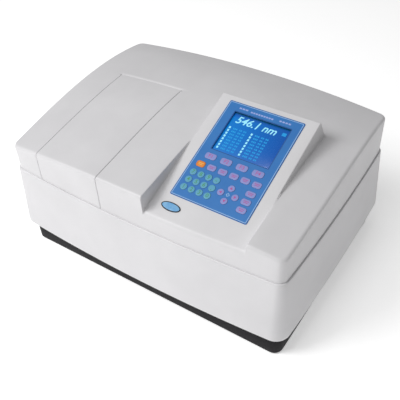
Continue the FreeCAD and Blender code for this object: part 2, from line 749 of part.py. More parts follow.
# ---------------------------------------------------------------- optics
def make_bench():
    """Cast optical bench on six posts, with holes for the motor shafts."""
    plate = block(-288, -206, "bench_under", 513, 384, "bench_top - bench_under")
    posts = [post(x, y, "foot_height + 4", 8, "bench_under - foot_height - 4")
             for x in (-268, -40, 105) for y in (-182, 165)]
    holes = [post("grating_x", "grating_y", 60, 4, 60), post("lamp_mirror_x", "lamp_mirror_y", 60, 4, 60)]
    piece("optical_bench", cut(fuse(plate, *posts), *holes))


def make_monochromator():
    """Light-tight housing of the grating, with its entrance and exit slits."""
    outer = block(-58, -28, "bench_top", 130, 170, 92)
    hollow = block(-55, -25, "bench_top + 3", 124, 164, 86)
    entrance = block(60, "lamp_mirror_y - 1", "beam_height - 6", 30, 2, 12)
    leaving = block(-70, 9, "beam_height - 6", 30, 2, 12)
    shaft = post("grating_x", "grating_y", 90, 4, 20)
    piece("monochromator_case", cut(outer, hollow, entrance, leaving, shaft))


def make_grating():
    """Turret with the ruled grating on its front, on the shaft of its own motor."""
    table = post("grating_x", "grating_y", "bench_top + 5", 22, 6)
    shaft = post("grating_x", "grating_y", 66, "shaft_radius", "bench_top + 5 - 66")
    grating = block("grating_x - 16", "grating_y - 4", "bench_top + 11", 32, 8, 50)
    piece("grating_turret", fuse(table, shaft, grating))


def make_motors():
    """Three stepper motors: grating, lamp mirror and filter wheel."""
    solids = []
    bore_radius, wheel_level = "shaft_radius + running_clearance", "beam_height - wheel_pitch"
    for x, y in (("grating_x", "grating_y"), ("lamp_mirror_x", "lamp_mirror_y")):
        can = block(f"{x} - 17.5", f"{y} - 17.5", "bench_under - 26", 35, 35, 26)
        solids.append(cut(can, post(x, y, 40, bore_radius, 60)))
    pillar = block("wheel_x + 8", "lamp_mirror_y - 10", "bench_top", 18, 20, f"{wheel_level} - bench_top")
    can = rod("wheel_x + 8", "lamp_mirror_y", wheel_level, 10, 18, "X")
    bore = rod("wheel_x + 5", "lamp_mirror_y", wheel_level, bore_radius, 30, "X")
    solids.append(cut(fuse(pillar, can), bore))
    piece("stepper_motors", group(*solids))


def make_filter_wheel():
    """Wheel of six order-sorting filters on its shaft."""
    centre = "beam_height - wheel_pitch"
    disc = rod("wheel_x", "lamp_mirror_y", centre, "wheel_radius", 3, "X")
    shaft = rod("wheel_x", "lamp_mirror_y", centre, "shaft_radius", 22, "X")
    boss = rod("wheel_x + 3", "lamp_mirror_y", centre, 5, 4, "X")
    holes = []
    for number in range(5):
        turn = 90 + 60 * number
        y, z = f"lamp_mirror_y + wheel_pitch * cos({turn} deg)", f"{centre} + wheel_pitch * sin({turn} deg)"
        holes.append(rod("wheel_x - 5", y, z, 4.5, 12, "X"))
    piece("filter_wheel", cut(fuse(disc, shaft, boss), *holes))


def make_lamp_house():
    """Vented metal housing around both lamps."""
    outer = block(122, 66, "bench_top", 100, 110, 84)
    hollow = block(124, 68, "bench_top + 2", 96, 106, 79)
    leaving = rod(115, "lamp_mirror_y", "beam_height", 6, 20, "X")
    shaft = post("lamp_mirror_x", "lamp_mirror_y", 90, 4, 20)
    vents = [block(140 + 14 * n, 100, 170, 6, 60, 30) for n in range(5)]
    piece("lamp_house", cut(outer, hollow, leaving, shaft, *vents))


def make_lamps():
    """Deuterium lamp and tungsten halogen lamp, each in its base."""
    glass = post(140, 150, "bench_top + 16", 11, 40)
    base = post(140, 150, "bench_top + 2", 14, 15)
    piece("deuterium_lamp", fuse(base, glass, post(140, 150, "bench_top + 55", 4, 10)))
    bulb = post(200, 140, "bench_top + 26", 5, 24)
    holder = block(190, 130, "bench_top + 2", 20, 20, 25)
    piece("tungsten_lamp", fuse(holder, bulb))


def make_lamp_mirror():
    """Mirror that turns to choose a lamp, on the shaft of its motor."""
    shaft = post("lamp_mirror_x", "lamp_mirror_y", 66, "shaft_radius", "bench_top + 8 - 66")
    cup = post("lamp_mirror_x", "lamp_mirror_y", "bench_top + 4", 8, 8)
    plate = block("lamp_mirror_x - 12", "lamp_mirror_y - 2", "bench_top + 12", 24, 4, 46)
    piece("lamp_mirror", fuse(shaft, cup, plate))


def make_mirrors():
    """Fixed mirrors and the beam splitter, each standing on its own foot."""
    places = ((-35, 110, 20, "bench_top + 3"), (45, 10, -30, "bench_top + 3"),
              (-35, -50, 45, "bench_top"), (-35, -130, 45, "bench_top"))
    solids = []
    for x, y, turn, floor in places:
        stand = post(x, y, floor, 9, 12)
        glass = doc.addObject("Part::Box", "mirror")
        corner = FreeCAD.Rotation(Vector(0, 0, 1), turn).multVec(Vector(-14, -2.5, 0))
        glass.Placement = FreeCAD.Placement(Vector(x, y, 0) + corner, FreeCAD.Rotation(Vector(0, 0, 1), turn))
        solids.append(fuse(stand, bind(glass, z=f"{floor} + 12", Length=28, Width=5, Height=40)))
    piece("fixed_mirrors", group(*solids))


def make_detectors():
    """One detector block for each beam, on the left of the chamber."""
    solids = []
    for y in ("sample_beam_y", "reference_beam_y"):
        stand = block(-278, f"{y} - 12", "bench_top", 24, 24, 24)
        head = block(-284, f"{y} - 20", "bench_top + 24", 44, 40, 40)
        window = rod(-240, y, "beam_height", 8, 10, "X")
        solids.append(fuse(stand, head, window))
    piece("detectors", group(*solids))


# ---------------------------------------------------------------- electronics
def make_main_board():
    """Main circuit board on four spacers, with its larger parts."""
    floor = "foot_height + 4"
    solids = [block(120, -190, f"{floor} + 12", 160, 200, 1.6)]
    solids += [post(x, y, floor, 4, 12) for x in (128, 272) for y in (-182, 2)]
    chips = ((150, -150, 28, 28, 3), (200, -150, 50, 14, 8), (150, -90, 20, 30, 14),
             (220, -100, 36, 36, 5), (140, -40, 60, 10, 12), (230, -40, 12, 24, 20))
    for x, y, width, length, height in chips:
        solids.append(block(x, y, f"{floor} + 13.6", width, length, height))
    piece("main_board", fuse(*solids))


def make_power_supply():
    """Boxed power supply on the tray's floor, with slots for air."""
    floor = "foot_height + 4"
    case = cut(block(120, 40, floor, 150, 140, 50), block(122, 42, f"{floor} + 2", 146, 136, 46))
    slots = [block(135 + 16 * n, 60, "foot_height + 44", 6, 100, 20) for n in range(8)]
    core = block(150, 70, f"{floor} + 2", 50, 50, 36)
    piece("power_supply", fuse(cut(case, *slots), core))


def check_and_write():
    """Recompute, stop on any failed object or bad shape, then write one STEP file for each node."""
    doc.recompute()
    broken = [item.Name for item in doc.Objects if "Invalid" in item.State or "Error" in item.State]
    if broken:
        raise RuntimeError(f"failed objects: {broken}")
    for item in NODES:
        if item.Shape.isNull() or not item.Shape.isValid():
            raise RuntimeError(f"bad shape: {item.Label}")
    os.makedirs("parts", exist_ok=True)
    for item in NODES:
        item.Shape.exportStep(f"parts/{item.Label}.step")


make_base_tray()
make_feet()
make_lower_case()
make_cover_and_lid()
make_hinge_pins()
make_screws()
make_sample_chamber()
make_cell_holders()
make_overlay()
make_display()
make_keypad_board()
make_badge()
make_rear_panel()
make_rear_connectors()
make_rocker()
make_fan()
make_bench()
make_monochromator()
make_grating()
make_motors()
make_filter_wheel()
make_lamp_house()
make_lamps()
make_lamp_mirror()
make_mirrors()
make_detectors()
make_main_board()
make_power_supply()
for key in key_table():
    make_key(*key)
check_and_write()
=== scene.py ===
"""Looks of a double-beam bench spectrophotometer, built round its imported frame.

The moulded skins (cover, sample lid and lower case) are meshes of their own that follow the case's
crown. Every other piece is a finished copy of the frame's own part: welded, its edges broken and dressed.
All lengths are in millimetres until a mesh is made, and the frame is the instrument's own: +X to its
right, -Y towards the person using it, +Z up.
"""
import json
import logging
import math
from dataclasses import dataclass, field
from enum import Enum
from typing import Any, Callable, Iterable, Optional, Sequence

import bmesh
import bpy
from mathutils import Matrix, Vector

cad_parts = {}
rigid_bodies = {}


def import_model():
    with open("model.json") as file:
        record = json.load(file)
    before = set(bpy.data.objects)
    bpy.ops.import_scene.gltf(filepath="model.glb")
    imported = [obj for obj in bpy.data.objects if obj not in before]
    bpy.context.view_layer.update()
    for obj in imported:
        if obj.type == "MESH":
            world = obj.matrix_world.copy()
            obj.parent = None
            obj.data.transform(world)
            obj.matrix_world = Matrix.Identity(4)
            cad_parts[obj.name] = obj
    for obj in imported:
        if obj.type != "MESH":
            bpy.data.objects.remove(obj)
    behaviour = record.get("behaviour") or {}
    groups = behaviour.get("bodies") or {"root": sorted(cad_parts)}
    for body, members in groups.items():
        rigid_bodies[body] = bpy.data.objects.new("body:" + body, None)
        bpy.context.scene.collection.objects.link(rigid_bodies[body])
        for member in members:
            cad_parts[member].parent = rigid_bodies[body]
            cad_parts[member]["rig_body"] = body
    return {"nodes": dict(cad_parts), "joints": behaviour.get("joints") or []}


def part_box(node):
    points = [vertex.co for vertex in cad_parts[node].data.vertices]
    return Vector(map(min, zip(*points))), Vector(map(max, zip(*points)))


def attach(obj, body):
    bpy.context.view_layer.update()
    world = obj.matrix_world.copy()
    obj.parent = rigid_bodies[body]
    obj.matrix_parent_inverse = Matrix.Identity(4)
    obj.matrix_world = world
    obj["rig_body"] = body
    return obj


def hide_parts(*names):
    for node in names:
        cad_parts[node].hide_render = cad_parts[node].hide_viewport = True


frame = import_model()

LOG = logging.getLogger("spectrophotometer")
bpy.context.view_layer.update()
MM = 0.001
FAR = 1.0e4
ROOT = "instrument"


# ---------------------------------------------------------------- numbers
def linear(code: str) -> tuple[float, float, float, float]:
    """Turn an sRGB hex colour into linear light.

    Args:
        code: the colour as six hex digits after a hash.

    Returns:
        Red, green, blue and a full alpha.
    """
    parts = [int(code[place:place + 2], 16) / 255 for place in (1, 3, 5)]
    light = [part / 12.92 if part <= 0.04045 else ((part + 0.055) / 1.055) ** 2.4 for part in parts]
    return (light[0], light[1], light[2], 1.0)


def even(low: float, high: float, pitch: float) -> list[float]:
    """Places between two ends, the ends left out, about a pitch apart."""
    count = max(1, round(abs(high - low) / pitch))
    return [low + (high - low) * step / count for step in range(1, count)]


def smooth_step(value: float, low: float, high: float) -> float:
    """Rise gently from 0 at low to 1 at high."""
    share = min(1.0, max(0.0, (value - low) / (high - low)))
    return share * share * (3 - 2 * share)


def smooth_min(first: float, second: float, blend: float) -> float:
    """The lesser of two heights, rounded over where they cross."""
    return min(first, second) - max(blend - abs(first - second), 0.0) ** 2 / (4 * blend)


def smooth_max(first: float, second: float, blend: float) -> float:
    """The greater of two heights, filled where they cross."""
    return -smooth_min(-first, -second, blend)


def box_mm(node: str) -> tuple[Vector, Vector]:
    """Lowest and highest corner of a node of the frame, in millimetres."""
    low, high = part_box(node)
    return low / MM, high / MM


def rounded_path(corners: Sequence[tuple[float, float, float]],
                 steps: int = 5) -> list[tuple[float, float]]:
    """Round the corners of a closed outline.

    Args:
        corners: each corner's two coordinates and its radius; a radius of 0 keeps it sharp.
        steps: straight pieces in each rounding.

    Returns:
        The outline's points, in the same order.
    """
    path: list[tuple[float, float]] = []
    count = len(corners)
    for number, (a, b, radius) in enumerate(corners):
        here = Vector((a, b))
        if radius <= 0:
            path.append((a, b))
            continue
        back = (Vector(corners[number - 1][:2]) - here).normalized()
        ahead = (Vector(corners[(number + 1) % count][:2]) - here).normalized()
        half = back.angle(ahead) / 2
        middle = here + (back + ahead).normalized() * (radius / math.sin(half))
        reach = radius / math.tan(half)
        first, last = here + back * reach - middle, here + ahead * reach - middle
        for step in range(steps + 1):
            spoke = first.slerp(last, step / steps).normalized() * radius
            path.append((middle.x + spoke.x, middle.y + spoke.y))
    return path


# ---------------------------------------------------------------- finishes
def add_node(tree: bpy.types.NodeTree, kind: str, links: Optional[dict[Any, Any]] = None,
             **settings: Any) -> bpy.types.Node:
    """Add a node to a tree.

    Args:
        tree: the material's or the geometry's node tree.
        kind: the node's type.
        links: for an input's name or number, another node's output or a plain value.
        settings: properties of the node itself.

    Returns:
        The new node.
    """
    made = tree.nodes.new(kind)
    for name, value in settings.items():
        setattr(made, name, value)
    for name, value in (links or {}).items():
        if isinstance(value, bpy.types.NodeSocket):
            tree.links.new(value, made.inputs[name])
        else:
            made.inputs[name].default_value = value
    return made


@dataclass(frozen=True)
class Finish:
    """A surface: what it is made of and how it was worked.

    Its pattern is two layers. Mottling is the slow drift of shade that handling, dust and moulding leave.
    Grain is the fine tooling or texture, which only tilts the light.
    """

    name: str
    slot: str
    colour: str
    mottled: str
    roughness: float
    metallic: float = 0.0
    ior: float = 1.5
    mottle_mm: float = 60.0
    grain_mm: float = 1.6
    grain_depth_mm: float = 0.02
    grain_stretch: tuple[float, float, float] = (1.0, 1.0, 1.0)
    roughness_drift: float = 0.06
    coat: float = 0.0
    coat_roughness: float = 0.1
    glow: float = 0.0
    clear: float = 0.0

    def colour_output(self, tree: bpy.types.NodeTree, place: bpy.types.NodeSocket) -> bpy.types.NodeSocket:
        """The colour over the surface, as a node's output."""
        drift = add_node(tree, "ShaderNodeTexNoise", {
            "Vector": place, "Scale": 1 / (self.mottle_mm * MM), "Detail": 4.0, "Roughness": 0.55})
        ramp = add_node(tree, "ShaderNodeValToRGB", {"Fac": drift.outputs["Fac"]})
        ramp.color_ramp.elements[0].position = 0.3
        ramp.color_ramp.elements[0].color = linear(self.mottled)
        ramp.color_ramp.elements[1].position = 0.7
        ramp.color_ramp.elements[1].color = linear(self.colour)
        return ramp.outputs["Color"]

    def height_output(self, tree: bpy.types.NodeTree, place: bpy.types.NodeSocket) -> bpy.types.NodeSocket:
        """The grain's height, from 0 to 1, as a node's output."""
        turned = add_node(tree, "ShaderNodeMapping", {"Vector": place, "Scale": self.grain_stretch})
        grain = add_node(tree, "ShaderNodeTexNoise", {
            "Vector": turned.outputs["Vector"], "Scale": 1 / (self.grain_mm * MM),
            "Detail": 3.0, "Roughness": 0.6})
        return grain.outputs["Fac"]

    def build(self) -> bpy.types.Material:
        """Make the material, once, and return it."""
        found = bpy.data.materials.get(self.name)
        if found is not None:
            return found
        material = bpy.data.materials.new(self.name)
        material.use_nodes = True
        tree = material.node_tree
        tree.nodes.clear()
        place = add_node(tree, "ShaderNodeTexCoord").outputs["Object"]
        height = self.height_output(tree, place)
        bump = add_node(tree, "ShaderNodeBump", {"Height": height, "Strength": 1.0,
                                                 "Distance": self.grain_depth_mm * MM})
        rough = add_node(tree, "ShaderNodeMapRange", {
            "Value": height, "From Min": 0.3, "From Max": 0.7,
            "To Min": self.roughness - self.roughness_drift,
            "To Max": self.roughness + self.roughness_drift})
        shade = self.colour_output(tree, place)
        shader = add_node(tree, "ShaderNodeBsdfPrincipled", {
            "Base Color": shade, "Roughness": rough.outputs["Result"], "Normal": bump.outputs["Normal"],
            "Metallic": self.metallic, "IOR": self.ior, "Coat Weight": self.coat,
            "Coat Roughness": self.coat_roughness, "Transmission Weight": self.clear})
        if self.glow > 0:
            tree.links.new(shade, shader.inputs["Emission Color"])
            shader.inputs["Emission Strength"].default_value = self.glow
        add_node(tree, "ShaderNodeOutputMaterial", {"Surface": shader.outputs["BSDF"]})
        return material


@dataclass(frozen=True)
class BoardFinish(Finish):
    """Solder resist over copper: square runs of track show as a lighter green."""

    track_mm: float = 5.0

    def colour_output(self, tree: bpy.types.NodeTree, place: bpy.types.NodeSocket) -> bpy.types.NodeSocket:
        """Lighter cells where copper lies under the resist."""
        cells = add_node(tree, "ShaderNodeTexVoronoi", {"Vector": place, "Scale": 1 / (self.track_mm * MM)},
                         distance="CHEBYCHEV", feature="F1")
        ramp = add_node(tree, "ShaderNodeValToRGB", {"Fac": cells.outputs["Distance"]})
        ramp.color_ramp.interpolation = "CONSTANT"
        ramp.color_ramp.elements[0].color = linear(self.mottled)
        ramp.color_ramp.elements[1].position = 0.35
        ramp.color_ramp.elements[1].color = linear(self.colour)
        return ramp.outputs["Color"]


@dataclass(frozen=True)
class DisplayFinish(Finish):
    """Backlit liquid crystal: bright by the lamps on its left, deeper to the right, with painted shade of
    the cover's recess darkening its far edge.

    The frame's metres are used here, because the finish works in the object's coordinates.
    """

    deep: str = "#0B55AC"
    # Painted shade: the colour the far edge takes, standing in for the recess's shadow on the pane.
    shaded: str = "#00486C"
    mottled_share: float = 0.4
    deep_share: float = 0.72
    far_y: float = 0.016
    shade_length: float = 0.011
    left_x: float = 0.075
    right_x: float = 0.188

    def colour_output(self, tree: bpy.types.NodeTree, place: bpy.types.NodeSocket) -> bpy.types.NodeSocket:
        """The stronger of two gradients: one across the pane, and a shadow along its far edge."""
        axes = add_node(tree, "ShaderNodeSeparateXYZ", {"Vector": place})
        across = add_node(tree, "ShaderNodeMapRange", {
            "Value": axes.outputs["X"], "From Min": self.left_x, "From Max": self.right_x,
            "To Max": self.deep_share})
        # Painted shadow of the cover's recess along the pane's far edge.
        along = add_node(tree, "ShaderNodeMapRange", {
            "Value": axes.outputs["Y"], "From Min": self.far_y - self.shade_length, "From Max": self.far_y})
        both = add_node(tree, "ShaderNodeMath", {0: across.outputs["Result"], 1: along.outputs["Result"]},
                        operation="MAXIMUM")
        mixed = add_node(tree, "ShaderNodeValToRGB", {"Fac": both.outputs["Value"]})
        mixed.color_ramp.elements[0].color = linear(self.colour)
        mixed.color_ramp.elements[1].color = linear(self.shaded)
        for share, colour in ((self.mottled_share, self.mottled), (self.deep_share, self.deep)):
            mixed.color_ramp.elements.new(share).color = linear(colour)
        return mixed.outputs["Color"]


# Moulded ABS with a spark-eroded skin: an even satin, broken by a fine leathery grain. The real grain is
# about 0.3 mm across, which is drawn at 1.6 mm so that it shows from a metre away.
CASING = Finish("moulded_abs_warm_white", "casing", "#D7D6D8", "#D1D0D2", 0.46, grain_mm=1.6,
                grain_depth_mm=0.03, mottle_mm=90.0)
# The same plastic, moulded black and left rougher: it shows only soft grey glints along its edges.
BASE_BLACK = Finish("moulded_abs_black", "base_black", "#151318", "#100F13", 0.6, ior=1.25, grain_mm=1.8,
                    grain_depth_mm=0.04)
# Nitrile rubber pads: dull and slightly dusty.
RUBBER = Finish("moulded_rubber", "rubber", "#1A1A1B", "#232322", 0.85, grain_mm=1.0, grain_depth_mm=0.05)
# Zinc-plated pan-head screws: bright with a blurred highlight.
SCREW_STEEL = Finish("zinc_plated_steel", "screw_steel", "#B9BCC2", "#A2A6AD", 0.3, metallic=1.0,
                     grain_mm=0.6, grain_depth_mm=0.01)
# Sheet aluminium painted optical black: dead matt so that it throws no light back at the cells.
CHAMBER_BLACK = Finish("optical_black_paint", "chamber_black", "#1B1B1D", "#232325", 0.8, grain_mm=0.9,
                       grain_depth_mm=0.03)
# Reverse-printed polyester film over aluminium: strong blue under a thin satin hard coat.
OVERLAY = Finish("printed_polyester_blue", "overlay_blue", "#3479BF", "#3072B8", 0.42, grain_mm=0.9,
                 grain_depth_mm=0.008, mottle_mm=50.0, coat=0.18, coat_roughness=0.25)
# The same film where white ink was printed thinly: a pale blue line.
OVERLAY_LINE = Finish("printed_polyester_pale_blue", "overlay_blue", "#9DC0E6", "#8FB5DF", 0.42,
                      grain_depth_mm=0.0)
# The same film where blue ink was printed twice: a darker line.
OVERLAY_DARK = Finish("printed_polyester_deep_blue", "overlay_blue", "#1F4E92", "#234F8E", 0.42,
                      grain_depth_mm=0.0)
# Lilac ink on the same film, used for the small captions.
OVERLAY_LILAC = Finish("printed_polyester_lilac", "overlay_blue", "#9FB0E6", "#93A3DE", 0.45,
                       grain_depth_mm=0.0)
# Backlit liquid crystal behind glass: it glows, the glass keeps a sharp reflection, and painted shade
# darkens its far edge where the recess shadows it.
DISPLAY = DisplayFinish("backlit_liquid_crystal", "display_blue", "#0074C6", "#0064BA", 0.25,
                        grain_depth_mm=0.0, coat=0.12, coat_roughness=0.08, glow=0.12)
# Open segments of the same crystal, where the white lamps shine through with a trace of cyan.
DISPLAY_WHITE = Finish("open_crystal_segment", "display_blue", "#A9EEFB", "#86DFF6", 0.3, mottle_mm=2.0,
                       grain_depth_mm=0.0, glow=0.15)
DISPLAY_DIM = Finish("open_crystal_small_segment", "display_blue", "#2AA2E2", "#1B8FD6", 0.3, mottle_mm=2.5,
                     grain_depth_mm=0.0, glow=0.1)
# FR4 circuit board with green solder resist, satin and faintly patterned by its tracks.
BOARD = BoardFinish("green_solder_resist", "circuit_board", "#1E5A3A", "#2E7A4E", 0.35, grain_depth_mm=0.01)
# Pad-printed enamel dome of the badge, glassy over a pale blue ground.
BADGE_BLUE = Finish("enamel_pale_blue", "badge_plate", "#8FC0E4", "#5FA0D6", 0.2, mottle_mm=9.0,
                    grain_depth_mm=0.0, coat=0.8, coat_roughness=0.05)
# Chromium-plated rim of the badge: its dark grey colour is a painted reflection of a dark room, and it turns
# white where it mirrors a lamp.
BADGE_CHROME = Finish("chromium_plate", "badge_plate", "#3C3D42", "#303136", 0.16, metallic=1.0,
                      grain_depth_mm=0.0)
# Powder-coated steel of the rear panel, with a fine orange-peel skin.
PANEL_PAINT = Finish("powder_coated_steel", "panel_paint", "#B9BBBE", "#AFB1B5", 0.5, grain_mm=1.4,
                     grain_depth_mm=0.05)
# Glass-filled nylon of the connectors, the switch and the fan.
BLACK_PLASTIC = Finish("glass_filled_nylon_black", "black_plastic", "#1C1C1E", "#242426", 0.45, grain_mm=0.8,
                       grain_depth_mm=0.02)
# Sand-cast aluminium, fly-cut on its faces: pale with long tool lines along X.
CAST = Finish("fly_cut_cast_aluminium", "cast_aluminium", "#C4C6C8", "#B3B5B8", 0.38, metallic=1.0,
              grain_mm=2.0, grain_depth_mm=0.03, grain_stretch=(0.08, 1.0, 1.0))
# Front-silvered glass: almost nothing but reflection.
MIRROR = Finish("front_silvered_glass", "mirror", "#E9EDF0", "#E3E8EC", 0.04, metallic=1.0,
                grain_depth_mm=0.0, roughness_drift=0.01)
# Ground steel of shafts, with fine lines round it.
BRIGHT_STEEL = Finish("ground_steel", "bright_steel", "#C9CBD0", "#B5B8BE", 0.22, metallic=1.0, grain_mm=0.8,
                      grain_depth_mm=0.01, grain_stretch=(1.0, 1.0, 0.1))
# Fused silica envelope of a lamp.
LAMP_GLASS = Finish("fused_silica", "lamp_glass", "#F2F5F7", "#EDF1F4", 0.05, ior=1.46, grain_depth_mm=0.0,
                    clear=0.9, roughness_drift=0.01)
# Silicone-hard-coated key caps, each colour printed under a satin skin.
KEY_GREEN = Finish("key_cap_sea_green", "key_green", "#5FA5BF", "#5A9FBC", 0.4, mottle_mm=6.0, grain_mm=0.7,
                   grain_depth_mm=0.01, coat=0.2, coat_roughness=0.25)
KEY_LILAC = Finish("key_cap_lilac", "key_lilac", "#8E94CE", "#888FCA", 0.4, mottle_mm=6.0, grain_mm=0.7,
                   grain_depth_mm=0.01, coat=0.2, coat_roughness=0.25)
KEY_ORANGE = Finish("key_cap_orange", "key_orange", "#E38A3A", "#DC7F2C", 0.4, mottle_mm=6.0, grain_mm=0.7,
                    grain_depth_mm=0.01, coat=0.2, coat_roughness=0.25)
# Screen-printing inks of the legends.
INK_PINK = Finish("ink_rose", "key_lilac", "#B35B9E", "#AA5596", 0.5, mottle_mm=4.0, grain_depth_mm=0.0)
INK_GREEN = Finish("ink_leaf_green", "key_green", "#4F9A5E", "#478F57", 0.5, mottle_mm=4.0,
                   grain_depth_mm=0.0)
INK_AMBER = Finish("ink_amber", "key_orange", "#F6C06A", "#F2B55A", 0.5, mottle_mm=4.0, grain_depth_mm=0.0)


# ---------------------------------------------------------------- meshes
class Draft:
    """Points in millimetres and faces, collected before they become an object."""

    def __init__(self) -> None:
        """Start empty."""
        self.points: list[Vector] = []
        self.faces: list[tuple[int, ...]] = []

    def point(self, place: Sequence[float]) -> int:
        """Keep a point and return its number."""
        self.points.append(Vector(place))
        return len(self.points) - 1

    def points_of(self, places: Iterable[Sequence[float]]) -> list[int]:
        """Keep several points and return their numbers."""
        return [self.point(place) for place in places]

    def skin(self, first: Sequence[int], second: Sequence[int], closed: bool = True) -> None:
        """Join two rows of points with faces that look outwards when the rows run anticlockwise upwards."""
        count = len(first)
        for number in range(count if closed else count - 1):
            after = (number + 1) % count
            self.faces.append((first[number], first[after], second[after], second[number]))

    def plate(self, outline: Sequence[Sequence[float]], low: float, high: float) -> None:
        """A flat plate with that outline between two levels."""
        bottom = self.points_of((x, y, low) for x, y in outline)
        top = self.points_of((x, y, high) for x, y in outline)
        self.skin(bottom, top)
        self.faces.append(tuple(reversed(bottom)))
        self.faces.append(tuple(top))

    def make(self, name: str, matrix: Optional[Matrix] = None) -> bpy.types.Object:
        """Make the object.

        Args:
            name: the piece's name.
            matrix: moves the points from their own frame, in millimetres, to the instrument's.

        Returns:
            The object, at the origin, with its place in its mesh.
        """
        mesh = bpy.data.meshes.new(name)
        places = [(matrix @ point if matrix else point) * MM for point in self.points]
        mesh.from_pydata([tuple(place) for place in places], [], self.faces)
        piece = bpy.data.objects.new(name, mesh)
        bpy.context.scene.collection.objects.link(piece)
        return piece


def edit(piece: bpy.types.Object, work: Callable[[bmesh.types.BMesh], None]) -> None:
    """Do some work on a piece's mesh."""
    mesh = bmesh.new()
    mesh.from_mesh(piece.data)
    work(mesh)
    mesh.to_mesh(piece.data)
    mesh.free()
    piece.data.update()


def close_doubles(piece: bpy.types.Object, reach_mm: float = 0.002) -> None:
    """Merge points that lie on each other."""
    edit(piece, lambda mesh: bmesh.ops.remove_doubles(mesh, verts=mesh.verts[:], dist=reach_mm * MM))


def face_outwards(piece: bpy.types.Object) -> None:
    """Make a closed mesh's faces look outwards."""
    edit(piece, lambda mesh: bmesh.ops.recalc_face_normals(mesh, faces=mesh.faces[:]))


def break_edges(piece: bpy.types.Object, width_mm: float, where: Optional[Callable[[Vector], bool]] = None,
                steps: int = 2, sharper_than: float = 40.0, clamp: bool = True) -> None:
    """Round a piece's sharp edges.

    Args:
        piece: the object.
        width_mm: how far the rounding reaches from the edge.
        where: takes an edge's middle, in millimetres, and says whether it is rounded.
        steps: faces across the rounding.
        sharper_than: the least angle between an edge's two faces, in degrees.
        clamp: keeps the rounding from running into itself.
    """
    def work(mesh: bmesh.types.BMesh) -> None:
        """Bevel the chosen edges."""
        limit = math.radians(sharper_than)
        chosen = [edge for edge in mesh.edges
                  if len(edge.link_faces) == 2 and edge.calc_face_angle(0.0) > limit
                  and (where is None or where((edge.verts[0].co + edge.verts[1].co) / 2 / MM))]
        bmesh.ops.bevel(mesh, geom=chosen, offset=width_mm * MM, segments=steps, profile=0.5,
                        affect="EDGES", clamp_overlap=clamp)
    edit(piece, work)


def shade(piece: bpy.types.Object, angle: float = 32.0) -> None:
    """Shade a piece smoothly except over edges sharper than an angle, in degrees."""
    piece.data.shade_smooth()
    piece.data.set_sharp_from_angle(angle=math.radians(angle))


def settle(piece: bpy.types.Object) -> bpy.types.Object:
    """Apply every modifier of a piece and return it."""
    evaluated = piece.evaluated_get(bpy.context.evaluated_depsgraph_get())
    mesh = bpy.data.meshes.new_from_object(evaluated)
    piece.modifiers.clear()
    old = piece.data
    piece.data = mesh
    mesh.name = piece.name
    bpy.data.meshes.remove(old)
    return piece


def give_wall(piece: bpy.types.Object, wall_mm: float) -> bpy.types.Object:
    """Thicken an open skin inwards into a wall."""
    wall = piece.modifiers.new("wall", "SOLIDIFY")
    wall.thickness = wall_mm * MM
    wall.offset = -1.0
    wall.use_quality_normals = True
    return settle(piece)


def finish_piece(piece: bpy.types.Object, finish: Finish, body: str = ROOT,
                 stands_for: Sequence[str] = ()) -> bpy.types.Object:
    """Dress a finished piece and hang it on its body.

    Args:
        piece: the object, in place.
        finish: its surface.
        body: the body of the frame that carries it.
        stands_for: nodes of the frame that it replaces.

    Returns:
        The same object.
    """
    piece.data.materials.clear()
    piece.data.materials.append(finish.build())
    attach(piece, body)
    if stands_for:
        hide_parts(*stands_for)
    LOG.info("%s: %d faces, %s, on %s", piece.name, len(piece.data.polygons), finish.name, body)
    return piece


def refined(node: str, finish: Finish, name: Optional[str] = None, edge_mm: float = 0.4, steps: int = 2,
            where: Optional[Callable[[Vector], bool]] = None) -> bpy.types.Object:
    """Stand a finished copy in for a node of the frame.

    Args:
        node: the frame's node.
        finish: the copy's surface.
        name: the copy's name, by default made from the node's.
        edge_mm: how far its sharp edges are rounded; 0 leaves them.
        steps: faces across each rounding.
        where: which edges, by their middles in millimetres.

    Returns:
        The copy.
    """
    source = frame["nodes"][node]
    piece = bpy.data.objects.new(name or f"{node}_finished", source.data.copy())
    bpy.context.scene.collection.objects.link(piece)

    def weld(mesh: bmesh.types.BMesh) -> None:
        """Merge doubled points and undo the cuts across flat faces."""
        bmesh.ops.remove_doubles(mesh, verts=mesh.verts[:], dist=0.002 * MM)
        bmesh.ops.dissolve_limit(mesh, angle_limit=math.radians(0.6), verts=mesh.verts[:],
                                 edges=mesh.edges[:])
    edit(piece, weld)
    if edge_mm > 0:
        break_edges(piece, edge_mm, where, steps)
    if piece.data.has_custom_normals:
        piece.data.normals_split_custom_set([(0.0, 0.0, 0.0)] * len(piece.data.loops))
    shade(piece)
    return finish_piece(piece, finish, source["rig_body"], (node,))


